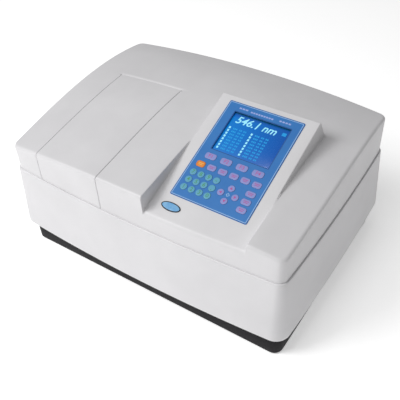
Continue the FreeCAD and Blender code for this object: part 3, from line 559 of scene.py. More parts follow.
# ---------------------------------------------------------------- case forms
@dataclass(frozen=True)
class CaseForm:
    """Plan and crown that the lower case, the cover and the lid share, in millimetres."""

    half_width: float = 300.0
    half_depth: float = 212.0
    side_bulge: float = 5.0
    front_bulge: float = 12.0
    front_edge: float = 249.0
    rear_edge: float = 273.0
    swell: float = 19.0
    front_crown: float = 25.0
    rear_crown: float = 14.0
    skew: float = -0.8
    bow_fades_y: tuple[float, float] = (160.0, 195.0)
    bow_fades_x: tuple[float, float] = (242.0, 283.0)

    def bulged(self, x: float, y: float, half_x: float, half_y: float) -> tuple[float, float]:
        """Bow a rectangular plan's sides outwards, and leave its middle straight."""
        near_front = smooth_step(abs(y), *self.bow_fades_y)
        near_side = smooth_step(abs(x), *self.bow_fades_x)
        bow_y = self.front_bulge * (1 - (x / half_x) ** 2) * near_front
        bow_x = self.side_bulge * (1 - (y / half_y) ** 2) * near_side
        return x + math.copysign(max(bow_x, 0.0), x), y + math.copysign(max(bow_y, 0.0), y)

    def crown(self, x: float, y: float) -> float:
        """Height of the crowned top over a point of the plan."""
        across = 1 - (x / self.half_width) ** 2
        back = (y + self.half_depth) / (2 * self.half_depth)
        edge = self.front_edge + (self.rear_edge - self.front_edge) * back
        hump = self.swell * 4 * back * (1 - back) * (1 + self.skew * (0.5 - back))
        return edge + hump + across * (self.front_crown * (1 - back) + self.rear_crown * back)


class Bed:
    """The tilted bed of the keypad, with its own axes: u to the right, v up the slope, n out of it."""

    thickest_film: float = 1.0
    pane_margin_u: float = 3.0
    pane_margin_v: float = 2.8

    def __init__(self) -> None:
        """Read the bed from the keypad's overlay and from the way its keys travel."""
        press = next(joint for joint in frame["joints"] if joint["name"].endswith("_press"))
        self.normal = -Vector(press["axis"]).normalized()
        self.across = Vector((1.0, 0.0, 0.0))
        self.up = self.normal.cross(self.across)
        low, high = box_mm("keypad_overlay")
        thick = (high.z - low.z) * self.normal.z + (high.y - low.y) * self.normal.y
        thick = max(self.thickest_film / 2, min(thick, self.thickest_film))
        self.centre = (low + high) / 2 - self.normal * (thick / 2)

    def matrix(self, u: float = 0.0, v: float = 0.0, level: float = 0.0, turn: float = 0.0) -> Matrix:
        """Place of something on the bed, turned about the bed's normal, in millimetres."""
        axes = Matrix((self.across, self.up, self.normal)).transposed().to_4x4()
        spot = self.centre + self.across * u + self.up * v + self.normal * level
        return Matrix.Translation(spot) @ axes @ Matrix.Rotation(turn, 4, "Z")

    def height(self, y: float) -> float:
        """The bed's height over a point of the plan."""
        return self.centre.z + (y - self.centre.y) * self.up.z / self.up.y

    def plan_y(self, v: float) -> float:
        """Where a line across the bed lies in the plan."""
        return self.centre.y + v * self.up.y

    def extent(self, node: str) -> tuple[Vector, Vector]:
        """A node's lowest and highest corner in the bed's own axes."""
        found = [vertex.co / MM - self.centre for vertex in frame["nodes"][node].data.vertices]
        local = [Vector((spot.dot(self.across), spot.dot(self.up), spot.dot(self.normal)))
                 for spot in found]
        low = Vector(tuple(min(spot[axis] for spot in local) for axis in range(3)))
        high = Vector(tuple(max(spot[axis] for spot in local) for axis in range(3)))
        return low, high

    def middle(self, node: str) -> tuple[float, float, float]:
        """A node's middle across and up the bed, and the level of its top."""
        low, high = self.extent(node)
        return (low.x + high.x) / 2, (low.y + high.y) / 2, high.z

    def size(self, node: str) -> tuple[float, float]:
        """A node's width across the bed and its length up it."""
        low, high = self.extent(node)
        return high.x - low.x, high.y - low.y

    def window(self) -> tuple[float, float]:
        """Width and length of the overlay's clear window over the display."""
        wide, long = self.size("display_module")
        return wide - 2 * self.pane_margin_u, long - 2 * self.pane_margin_v


@dataclass(frozen=True)
class Line:
    """A line of the skin's grid: its place, its inset from the outline, and its part in a step."""

    place: float
    inset: float = FAR
    wall: Optional[float] = None
    share_at: int = 0


@dataclass
class CrownedSkin:
    """Outer surface of the moulded top, of which the cover and the lid are both patches."""

    form: CaseForm
    bed: Bed
    bed_half_width: float = 100.0
    bed_rear: float = 122.0
    slope_foot: float = 76.0
    slope_foot_height: float = 280.0
    ridge_blend: float = 5.0
    foot_blend: float = 5.0
    step_radius: float = 2.0
    step_draft: float = 1.0
    step_pieces: int = 4
    inset: float = 3.0
    corner: float = 14.0
    edge_radius: float = 5.5
    edge_pieces: int = 6
    pitch: float = 13.0
    opening_room: float = 2.6
    seam: float = field(default_factory=lambda: box_mm("lower_case")[1].z)

    @property
    def half_x(self) -> float:
        """Half width of the cover at its corners."""
        return self.form.half_width - self.inset

    @property
    def half_y(self) -> float:
        """Half depth of the cover at its corners."""
        return self.form.half_depth - self.inset

    @property
    def middle(self) -> float:
        """Centre of the bed across the instrument."""
        return self.bed.centre.x

    def walls(self) -> tuple[float, float]:
        """Left and right side of the bed."""
        return self.middle - self.bed_half_width, self.middle + self.bed_half_width

    def edge_lines(self, side: int, half: float) -> list[Line]:
        """Lines along one border, from the outline inwards; side is -1 or 1."""
        quarter = math.pi / 2 / self.edge_pieces
        insets = [self.edge_radius * (1 - math.cos(quarter * step)) for step in range(self.edge_pieces + 1)]
        insets += [self.edge_radius + 3.0, self.corner]
        return [Line(side * (half - inset), inset) for inset in insets]

    def step_profile(self, height: float) -> list[tuple[float, float]]:
        """A step's section: how far across it and what share of its height each point has come."""
        radius, draft = self.step_radius, self.step_draft / 2
        tall = max(height, 2.2 * radius)
        turns = [math.pi / 2 * step / self.step_pieces for step in range(self.step_pieces + 1)]
        path = [(-draft - radius + radius * math.sin(turn), radius * (1 - math.cos(turn)))
                for turn in turns]
        path += [(draft + radius * (1 - math.cos(turn)), tall - radius + radius * math.sin(turn))
                 for turn in turns]
        return [(across, down / tall) for across, down in path]

    def step_lines(self, wall: float, inward: int) -> list[Line]:
        """Lines across one side of the bed; inward is 1 where the bed lies to the right of it."""
        lines = [Line(wall + inward * across, FAR, wall, number)
                 for number, (across, _share) in enumerate(self.step_profile(FAR))]
        return sorted(lines, key=lambda line: line.place)

    def columns(self) -> list[Line]:
        """Every line of the cover's grid that runs from front to rear."""
        left, right = self.walls()
        lines = self.edge_lines(-1, self.half_x) + self.edge_lines(1, self.half_x)[::-1]
        lines += self.step_lines(left, 1) + self.step_lines(right, -1)
        return lines

    def rows(self) -> list[Line]:
        """Every line of the skin's grid that runs from side to side and doesn't depend on an opening."""
        ridge = self.bed.plan_y(self.bed_rear)
        lines = self.edge_lines(-1, self.half_y) + self.edge_lines(1, self.half_y)[::-1]
        fine = [ridge + step * 0.8 for step in range(-4, 6)]
        fine += even(ridge + 4.0, self.slope_foot - 14.0, 3.0)
        fine += even(self.slope_foot - 14.0, self.slope_foot + 1.0, 1.2)
        return lines + [Line(place) for place in fine]

    def filled(self, lines: Iterable[Line], openings: Sequence[float]) -> list[Line]:
        """Add the openings' lines, clear plain lines from beside them, and fill the wide gaps.

        Args:
            lines: the lines known so far.
            openings: places of the openings' sides, which get room for a rounded edge.

        Returns:
            Every line, in order.
        """
        clear = [line for line in lines if line.inset < FAR or line.wall is not None
                 or all(abs(line.place - place) > self.opening_room for place in openings)]
        known = sorted(clear + [Line(place) for place in openings], key=lambda line: line.place)
        made = [known[0]]
        for line in known[1:]:
            made += [Line(place) for place in even(made[-1].place, line.place, self.pitch)]
            made.append(line)
        return made

    def over_bed(self, x: float, y: float) -> float:
        """Height inside the bed's sides: the bed, its ridge and the slope behind it."""
        ridge = self.bed.plan_y(self.bed_rear)
        top = self.bed.height(ridge)
        fall = (top - self.slope_foot_height) / (self.slope_foot - ridge)
        raised = smooth_min(self.bed.height(y), top - (y - ridge) * fall, self.ridge_blend)
        if y < ridge:
            return raised
        return smooth_max(raised, self.form.crown(x, y), self.foot_blend)

    def height(self, x: float, y: float, line: Line) -> float:
        """The skin's height before its border is rounded."""
        left, right = self.walls()
        crown = self.form.crown(x, y)
        if line.wall is None:
            return self.over_bed(x, y) if left < x < right else crown
        inside = self.over_bed(x, y)
        share = self.step_profile(abs(crown - inside))[line.share_at][1]
        return crown + (inside - crown) * share

    def plan(self, column: Line, row: Line) -> tuple[float, float]:
        """Where two lines of the grid cross, with the plan's corners rounded and its sides bowed."""
        x, y = column.place, row.place
        if column.inset < self.corner and row.inset < self.corner:
            u, v = self.corner - column.inset, self.corner - row.inset
            reach = max(u, v)
            turn = math.pi / 4 * v / u if u >= v else math.pi / 2 - math.pi / 4 * u / v
            x = math.copysign(self.half_x - self.corner + reach * math.cos(turn), x)
            y = math.copysign(self.half_y - self.corner + reach * math.sin(turn), y)
        return self.form.bulged(x, y, self.half_x, self.half_y)

    def point(self, column: Line, row: Line) -> Vector:
        """The skin's surface where two lines cross."""
        x, y = self.plan(column, row)
        inset, radius = min(column.inset, row.inset), self.edge_radius
        drop = 0.0 if inset >= radius else radius - math.sqrt(radius ** 2 - (radius - inset) ** 2)
        return Vector((x, y, self.height(x, y, column) - drop))

    def patch(self, name: str, columns: Sequence[Line], rows: Sequence[Line],
              kept: Callable[[float, float], bool], bottom: float) -> bpy.types.Object:
        """Make the part of the skin that a test keeps, with the walls under its border.

        Args:
            name: the piece's name.
            columns: lines from front to rear, from left to right.
            rows: lines from side to side, from front to rear.
            kept: takes the middle of a face in the plan and says whether it is there.
            bottom: level of the walls' lower edge.

        Returns:
            The open skin, one face thick.
        """
        draft = Draft()
        grid = [draft.points_of(self.point(column, row) for column in columns) for row in rows]
        across, along = len(columns) - 1, len(rows) - 1
        for j in range(along):
            for i in range(across):
                corners = (grid[j][i], grid[j][i + 1], grid[j + 1][i + 1], grid[j + 1][i])
                middle = sum((draft.points[corner] for corner in corners), Vector()) / 4
                if kept(middle.x, middle.y):
                    draft.faces.append(corners)
        ring = grid[0][:]
        if columns[0].inset == 0:
            ring += [grid[j][across] for j in range(1, along + 1)]
            ring += [grid[along][i] for i in range(across - 1, -1, -1)]
            ring += [grid[j][0] for j in range(along - 1, -1, -1)]
        levels = [0.15, 0.55, 0.9, 1.0]
        stacks = []
        for corner in ring:
            top = draft.points[corner]
            stacks.append([corner] + [draft.point((top.x, top.y, top.z + (bottom - top.z) * level))
                                      for level in levels])
        for first, second in zip(stacks, stacks[1:]):
            middle = (draft.points[first[0]] + draft.points[second[0]]) / 2
            if kept(middle.x, middle.y):
                for level in range(len(levels)):
                    draft.faces.append((first[level + 1], second[level + 1], second[level], first[level]))
        piece = draft.make(name)
        edit(piece, lambda mesh: bmesh.ops.delete(
            mesh, geom=[vertex for vertex in mesh.verts if not vertex.link_faces], context="VERTS"))
        close_doubles(piece)
        return piece


def turn_in(piece: bpy.types.Object, depth_mm: float, where: Callable[[Vector], bool]) -> None:
    """Turn a skin's open border inwards, square to its surface.

    Args:
        piece: the open skin.
        depth_mm: how deep the turned flange is.
        where: takes the middle of a border edge, in millimetres, and says whether it is turned.
    """
    def work(mesh: bmesh.types.BMesh) -> None:
        """Extrude the chosen border against its own normals."""
        mesh.normal_update()
        border = [edge for edge in mesh.edges if edge.is_boundary
                  and where((edge.verts[0].co + edge.verts[1].co) / 2 / MM)]
        inward = {vertex.index: vertex.normal.copy() for edge in border for vertex in edge.verts}
        places = {vertex.index: vertex.co.copy() for edge in border for vertex in edge.verts}
        made = bmesh.ops.extrude_edge_only(mesh, edges=border)["geom"]
        fresh = [item for item in made if isinstance(item, bmesh.types.BMVert)]
        for vertex in fresh:
            nearest = min(places, key=lambda number: (places[number] - vertex.co).length_squared)
            vertex.co -= inward[nearest] * depth_mm * MM
    edit(piece, work)


# ---------------------------------------------------------------- moulded skins
@dataclass
class TopCover:
    """The crowned cover, with its openings for the sample lid, the display and the keys."""

    skin: CrownedSkin
    wall: float = 2.8
    flange: float = 7.0
    side_gap: float = 0.8
    rear_gap: float = 1.6
    rear_dip: float = 1.7
    glass_lap: float = 0.8
    field_half_u: float = 69.5
    field_low_v: float = -97.0
    field_high_v: float = -6.0

    def opening(self) -> tuple[float, float, float]:
        """Left, right and rear side of the lid's opening."""
        low, high = box_mm("sample_lid")
        return low.x - self.side_gap, high.x + self.side_gap, high.y + self.rear_gap

    def windows(self) -> list[tuple[float, float, float, float]]:
        """Openings under the overlay in the plan: left, right, front and rear."""
        bed = self.skin.bed
        u, v, _level = bed.middle("display_module")
        half_u, half_v = (side / 2 - self.glass_lap for side in bed.size("display_module"))
        return [(bed.centre.x + u - half_u, bed.centre.x + u + half_u,
                 bed.plan_y(v - half_v), bed.plan_y(v + half_v)),
                (bed.centre.x - self.field_half_u, bed.centre.x + self.field_half_u,
                 bed.plan_y(self.field_low_v), bed.plan_y(self.field_high_v))]

    def build(self) -> bpy.types.Object:
        """Make and dress the cover."""
        left, right, rear = self.opening()
        windows = self.windows()
        room = self.skin.opening_room + 0.2
        xs = [left, right, left - room, right + room] + [side for window in windows for side in window[:2]]
        ys = [rear, rear + room] + [side for window in windows for side in window[2:]]
        columns = self.skin.filled(self.skin.columns(), xs)
        rows = self.skin.filled(self.skin.rows(), ys)

        def kept(x: float, y: float) -> bool:
            """Whether a face lies outside every opening."""
            if left < x < right and y < rear:
                return False
            return not any(x0 < x < x1 and y0 < y < y1 for x0, x1, y0, y1 in windows)

        piece = self.skin.patch("cover_shell", columns, rows, kept, self.skin.seam + 0.3)

        def dip(mesh: bmesh.types.BMesh) -> None:
            """Lower the border behind the lid, so that the lid clears it as it swings."""
            for vertex in mesh.verts:
                if left - 0.5 < vertex.co.x / MM < right + 0.5 and abs(vertex.co.y / MM - rear) < 0.5:
                    vertex.co.z -= self.rear_dip * MM

        edit(piece, dip)

        def on_lid_opening(spot: Vector) -> bool:
            """Whether an edge lies on the border of the lid's opening."""
            return left - 1 < spot.x < right + 1 and spot.y < rear + 1 and spot.z > self.skin.seam + 1

        turn_in(piece, self.flange, on_lid_opening)
        break_edges(piece, 1.1, on_lid_opening, steps=3, clamp=False)
        give_wall(piece, self.wall)
        shade(piece)
        return finish_piece(piece, CASING, stands_for=("top_cover",))


@dataclass
class SampleLid:
    """The lid over the cells: the same skin, with turned edges and two ears for its hinge."""

    skin: CrownedSkin
    wall: float = 2.6
    flange: float = 8.0
    side_band: float = 3.5
    rear_band: float = 5.0
    ear_wall: float = 5.0
    ear_radius: float = 3.9
    ear_places: tuple[float, float] = (-204.0, -98.0)

    def build(self) -> None:
        """Make and dress the lid and its ears."""
        low, high = box_mm("sample_lid")
        left, right, rear = low.x, high.x, high.y
        inner_left, inner_right = left + self.side_band, right - self.side_band
        places = [left, inner_left] + even(inner_left, inner_right, self.skin.pitch) + [inner_right, right]
        columns = [Line(place) for place in places]
        front = self.skin.edge_lines(-1, self.skin.half_y)
        inner_rear = rear - self.rear_band
        places = even(front[-1].place, inner_rear, self.skin.pitch) + [inner_rear, rear]
        rows = front + [Line(place) for place in places]
        piece = self.skin.patch("sample_lid_shell", columns, rows, lambda x, y: True, low.z)

        def on_edge(spot: Vector) -> bool:
            """Whether an edge lies on a side or the rear of the lid."""
            at_side = min(abs(spot.x - left), abs(spot.x - right)) < 0.5
            return at_side or spot.y > rear - 0.5

        turn_in(piece, self.flange, on_edge)
        break_edges(piece, 1.1, lambda spot: on_edge(spot) and spot.y < rear - 0.5, steps=3, clamp=False)
        give_wall(piece, self.wall)
        shade(piece)
        finish_piece(piece, CASING, "lid", ("sample_lid",))
        self.build_ears()

    def build_ears(self) -> None:
        """The two ears under the lid, each rounded about the hinge's axis."""
        hinge = next(joint for joint in frame["joints"] if joint["child"] == "lid")
        axis = Vector(hinge["pos_m"]) / MM
        draft = Draft()
        for place in self.ear_places:
            top = self.skin.form.crown(place, axis.y) - 2.0
            arc = [math.pi + math.pi * step / 12 for step in range(13)]
            outline = [(self.ear_radius * math.cos(turn), self.ear_radius * math.sin(turn)) for turn in arc]
            outline += [(self.ear_radius, top - axis.z), (-self.ear_radius, top - axis.z)]
            ends = []
            for x in (place, place + self.ear_wall):
                ends.append(draft.points_of((x, axis.y + across, axis.z + up) for across, up in outline))
            draft.skin(ends[0], ends[1])
            draft.faces.append(tuple(reversed(ends[0])))
            draft.faces.append(tuple(ends[1]))
        piece = draft.make("lid_hinge_ears")
        face_outwards(piece)
        break_edges(piece, 0.4)
        shade(piece)
        finish_piece(piece, CASING, "lid")


@dataclass
class LowerCase:
    """Flared lower case: one wall turned in at its foot and round its rim, with a recess at the rear."""

    form: CaseForm
    wall: float = 3.0
    flare: float = 10.0
    foot_radius: float = 7.0
    rim_radius: float = 2.4
    ledge: float = 9.0
    ledge_thick: float = 6.0
    turned_foot: float = 16.0
    corner: float = 16.0
    panel_lip: float = 10.0
    pitch: float = 15.0
    arc_pieces: int = 8
    clearance: float = 0.05

    def ring(self, offset: float, level: float) -> list[Vector]:
        """The outline at an offset, anticlockwise from the front left."""
        half_x, half_y = self.form.half_width + offset, self.form.half_depth + offset
        corner = max(self.corner + offset, 4.0)
        xs, ys = self.stations()
        plan = [(x, -half_y) for x in xs]
        for turn, side_x, side_y in ((-90, 1, -1), (0, 1, 1), (90, -1, 1), (180, -1, -1)):
            spokes = [math.radians(turn + 90 * step / self.arc_pieces)
                      for step in range(self.arc_pieces + 1)]
            plan += [(side_x * (half_x - corner) + corner * math.cos(spoke),
                      side_y * (half_y - corner) + corner * math.sin(spoke)) for spoke in spokes]
            if turn == -90:
                plan += [(half_x, y) for y in ys]
            if turn == 0:
                plan += [(x, half_y) for x in reversed(xs)]
            if turn == 90:
                plan += [(-half_x, y) for y in reversed(ys)]
        return [Vector((*self.form.bulged(x, y, half_x, half_y), level)) for x, y in plan]

    def stations(self) -> tuple[list[float], list[float]]:
        """Places along the long sides and along the short ones."""
        low, high = box_mm("rear_panel")
        reach_x, reach_y = self.form.half_width - 22.0, self.form.half_depth - 22.0
        xs = [-reach_x] + even(-reach_x, low.x, self.pitch) + [low.x] + even(low.x, high.x, self.pitch)
        xs += [high.x] + even(high.x, reach_x, self.pitch) + [reach_x]
        return xs, [-reach_y] + even(-reach_y, reach_y, self.pitch) + [reach_y]

    def section(self) -> tuple[list[tuple[float, float]], float, float]:
        """The wall's closed section, outside first, and the levels of the rear recess."""
        base, seam = box_mm("base_tray")[1].z, box_mm("lower_case")[1].z
        panel_low, panel_high = box_mm("rear_panel")
        low, high = panel_low.z, panel_high.z

        def out(level: float) -> float:
            """How far the flare stands out at a level."""
            return self.flare * (1 - (level - base) / (seam - base))

        under = seam - self.ledge_thick
        corners = [(-self.turned_foot, base, 0.4), (out(base), base, self.foot_radius),
                   (out(low), low, 0.0), (out(high), high, 0.0), (0.0, seam, self.rim_radius),
                   (-self.ledge, seam, 0.6), (-self.ledge, under, 0.4),
                   (out(high) - self.wall - 0.2, under, 0.3), (out(high) - self.wall, high, 0.0),
                   (out(low) - self.wall, low, 0.0),
                   (out(base) - self.wall - 1.0, base + self.wall, 1.5),
                   (-self.turned_foot, base + self.wall, 0.4)]
        return rounded_path(corners), low, high

    def build(self) -> bpy.types.Object:
        """Make and dress the lower case."""
        path, low, high = self.section()
        panel_low, panel_high = box_mm("rear_panel")
        face = panel_low.y
        draft = Draft()
        rings = [draft.points_of(self.ring(offset - self.clearance, level)) for offset, level in path]
        count = len(rings[0])
        at_low = [n for n, (_offset, level) in enumerate(path) if abs(level - low) < 0.01]
        at_high = [n for n, (_offset, level) in enumerate(path) if abs(level - high) < 0.01]
        outer_low, outer_high, inner_low, inner_high = at_low[0], at_high[0], at_low[-1], at_high[-1]
        behind = [n for n in range(count) if draft.points[rings[0][n]].y > 150]
        first = min(behind, key=lambda n: abs(draft.points[rings[0][n]].x - panel_high.x))
        last = min(behind, key=lambda n: abs(draft.points[rings[0][n]].x - panel_low.x))
        for number in range(len(rings)):
            after = (number + 1) % len(rings)
            for spot in range(count):
                in_recess = first <= spot < last and number in (outer_low, inner_high)
                if not in_recess:
                    nearby = (spot + 1) % count
                    draft.faces.append((rings[number][spot], rings[number][nearby],
                                        rings[after][nearby], rings[after][spot]))
        levels = ((outer_low, outer_high), (inner_low, inner_high))
        self.add_recess(draft, rings, (first, last), levels, face)
        piece = draft.make("lower_case_shell")
        close_doubles(piece)
        face_outwards(piece)
        break_edges(piece, 1.0, lambda spot: spot.y > face - 1 and low - 2 < spot.z < high + 2
                    and panel_low.x - 2 < spot.x < panel_high.x + 2, clamp=False)
        shade(piece)
        return finish_piece(piece, CASING, stands_for=("lower_case",))

    def add_recess(self, draft: Draft, rings: list[list[int]], span: tuple[int, int],
                   levels: tuple[tuple[int, int], tuple[int, int]], face: float) -> None:
        """Sink the rear recess into the wall and leave a lip that the panel is screwed to."""
        first, last = span
        loops = []
        for low, high in levels:
            loops.append(rings[low][first:last + 1] + rings[high][first:last + 1][::-1])
        outer, inner = loops
        edge = [draft.points[corner] for corner in outer]
        left, right = min(spot.x for spot in edge), max(spot.x for spot in edge)
        low, high = min(spot.z for spot in edge), max(spot.z for spot in edge)

        def clamped(spot: Vector, y: float) -> Vector:
            """A point moved in to the lip's inner edge."""
            x = min(max(spot.x, left + self.panel_lip), right - self.panel_lip)
            return Vector((x, y, min(max(spot.z, low + self.panel_lip), high - self.panel_lip)))

        chain = [outer, draft.points_of((spot.x, face, spot.z) for spot in edge),
                 draft.points_of(clamped(spot, face) for spot in edge),
                 draft.points_of(clamped(spot, face - self.wall) for spot in edge), inner]
        for near, far in zip(chain, chain[1:]):
            draft.skin(near, far)


# ---------------------------------------------------------------- keypad
class Mark(Enum):
    """Kinds of legend printed on the keys."""

    TEXT = "text"
    ARROW = "arrow"
    BARS = "bars"


@dataclass(frozen=True)
class Legend:
    """What is printed on one key: its kind, its words or its turn, its height and its ink."""

    mark: Mark
    words: str
    height: float
    ink: Finish
    turn: float = 0.0


def text_mesh(name: str, words: str, height: float, matrix: Matrix, thick: float = 0.03,
              shear: float = 0.0, weight: float = 0.0) -> bpy.types.Object:
    """Make flat printed words.

    Args:
        name: the piece's name.
        words: what is printed.
        height: the size of the letters in millimetres.
        matrix: where the middle of the words goes, in millimetres.
        thick: thickness of the ink.
        shear: lean of the letters.
        weight: how much their strokes are thickened, in millimetres.

    Returns:
        The words as a mesh.
    """
    curve = bpy.data.curves.new(name, "FONT")
    curve.body = words
    curve.size = height * 1.4
    curve.align_x, curve.align_y = "CENTER", "CENTER"
    curve.shear = shear
    curve.extrude = thick / 2
    curve.offset = weight
    curve.resolution_u = 3
    holder = bpy.data.objects.new(name + "_curve", curve)
    bpy.context.scene.collection.objects.link(holder)
    mesh = bpy.data.meshes.new_from_object(holder.evaluated_get(bpy.context.evaluated_depsgraph_get()))
    bpy.data.objects.remove(holder)
    bpy.data.curves.remove(curve)
    mesh.transform(Matrix.Scale(MM, 4) @ matrix)
    piece = bpy.data.objects.new(name, mesh)
    bpy.context.scene.collection.objects.link(piece)
    close_doubles(piece)
    return piece


class Stamps:
    """Geometry Nodes that repeat one small solid over a grid of places."""

    def __init__(self) -> None:
        """Build the tree with its named inputs."""
        self.tree = bpy.data.node_groups.new("stamp_grid", "GeometryNodeTree")
        face = self.tree.interface
        face.new_socket("Geometry", in_out="OUTPUT", socket_type="NodeSocketGeometry")
        kinds = {"Columns": "NodeSocketInt", "Rows": "NodeSocketInt", "Width": "NodeSocketFloat",
                 "Depth": "NodeSocketFloat", "Stamp": "NodeSocketVector", "Material": "NodeSocketMaterial"}
        self.inputs = {name: face.new_socket(name, in_out="INPUT", socket_type=kind).identifier
                       for name, kind in kinds.items()}
        given = add_node(self.tree, "NodeGroupInput").outputs
        grid = add_node(self.tree, "GeometryNodeMeshGrid", {
            "Size X": given["Width"], "Size Y": given["Depth"],
            "Vertices X": given["Columns"], "Vertices Y": given["Rows"]})
        brick = add_node(self.tree, "GeometryNodeMeshCube", {"Size": given["Stamp"]})
        laid = add_node(self.tree, "GeometryNodeInstanceOnPoints", {
            "Points": grid.outputs["Mesh"], "Instance": brick.outputs["Mesh"]})
        real = add_node(self.tree, "GeometryNodeRealizeInstances", {"Geometry": laid.outputs["Instances"]})
        dressed = add_node(self.tree, "GeometryNodeSetMaterial", {
            "Geometry": real.outputs["Geometry"], "Material": given["Material"]})
        add_node(self.tree, "NodeGroupOutput", {"Geometry": dressed.outputs["Geometry"]})

    def lay(self, name: str, matrix: Matrix, columns: int, rows: int, pitch: tuple[float, float],
            stamp: tuple[float, float, float], finish: Finish) -> bpy.types.Object:
        """Lay a grid of stamps about a place.

        Args:
            name: the piece's name.
            matrix: the grid's middle, in millimetres.
            columns: stamps from side to side.
            rows: stamps from front to rear.
            pitch: distance between stamps both ways.
            stamp: one stamp's sizes.
            finish: its surface.

        Returns:
            The plain mesh of all the stamps.
        """
        holder = bpy.data.objects.new(name, bpy.data.meshes.new(name))
        bpy.context.scene.collection.objects.link(holder)
        modifier = holder.modifiers.new("stamps", "NODES")
        modifier.node_group = self.tree
        values = {"Columns": columns, "Rows": rows, "Width": (columns - 1) * pitch[0],
                  "Depth": (rows - 1) * pitch[1], "Stamp": stamp, "Material": finish.build()}
        for label, value in values.items():
            modifier[self.inputs[label]] = value
        holder.update_tag()
        settle(holder)
        holder.data.transform(Matrix.Scale(MM, 4) @ matrix)
        return holder


def join(name: str, parts: Sequence[bpy.types.Object]) -> bpy.types.Object:
    """Join several meshes of one finish into one piece."""
    whole = bmesh.new()
    for part in parts:
        whole.from_mesh(part.data)
    mesh = bpy.data.meshes.new(name)
    whole.to_mesh(mesh)
    whole.free()
    for part in parts:
        data = part.data
        bpy.data.objects.remove(part)
        bpy.data.meshes.remove(data)
    piece = bpy.data.objects.new(name, mesh)
    bpy.context.scene.collection.objects.link(piece)
    return piece


def frame_strip(name: str, matrix: Matrix, outer: tuple[float, float], width: float, corner: float,
                thick: float = 0.04) -> bpy.types.Object:
    """A thin printed line round a rectangle."""
    draft = Draft()
    loops = []
    for shrink in (0.0, width):
        half_u, half_v = outer[0] / 2 - shrink, outer[1] / 2 - shrink
        radius = max(corner - shrink, 0.2)
        corners = [(-half_u, -half_v, radius), (half_u, -half_v, radius), (half_u, half_v, radius),
                   (-half_u, half_v, radius)]
        path = rounded_path(corners, 4)
        loops.append([draft.points_of((u, v, level) for u, v in path) for level in (0.0, thick)])
    draft.skin(loops[0][0], loops[0][1])
    draft.skin(loops[0][1], loops[1][1])
    draft.skin(loops[1][1], loops[1][0])
    draft.skin(loops[1][0], loops[0][0])
    piece = draft.make(name, matrix)
    face_outwards(piece)
    return piece


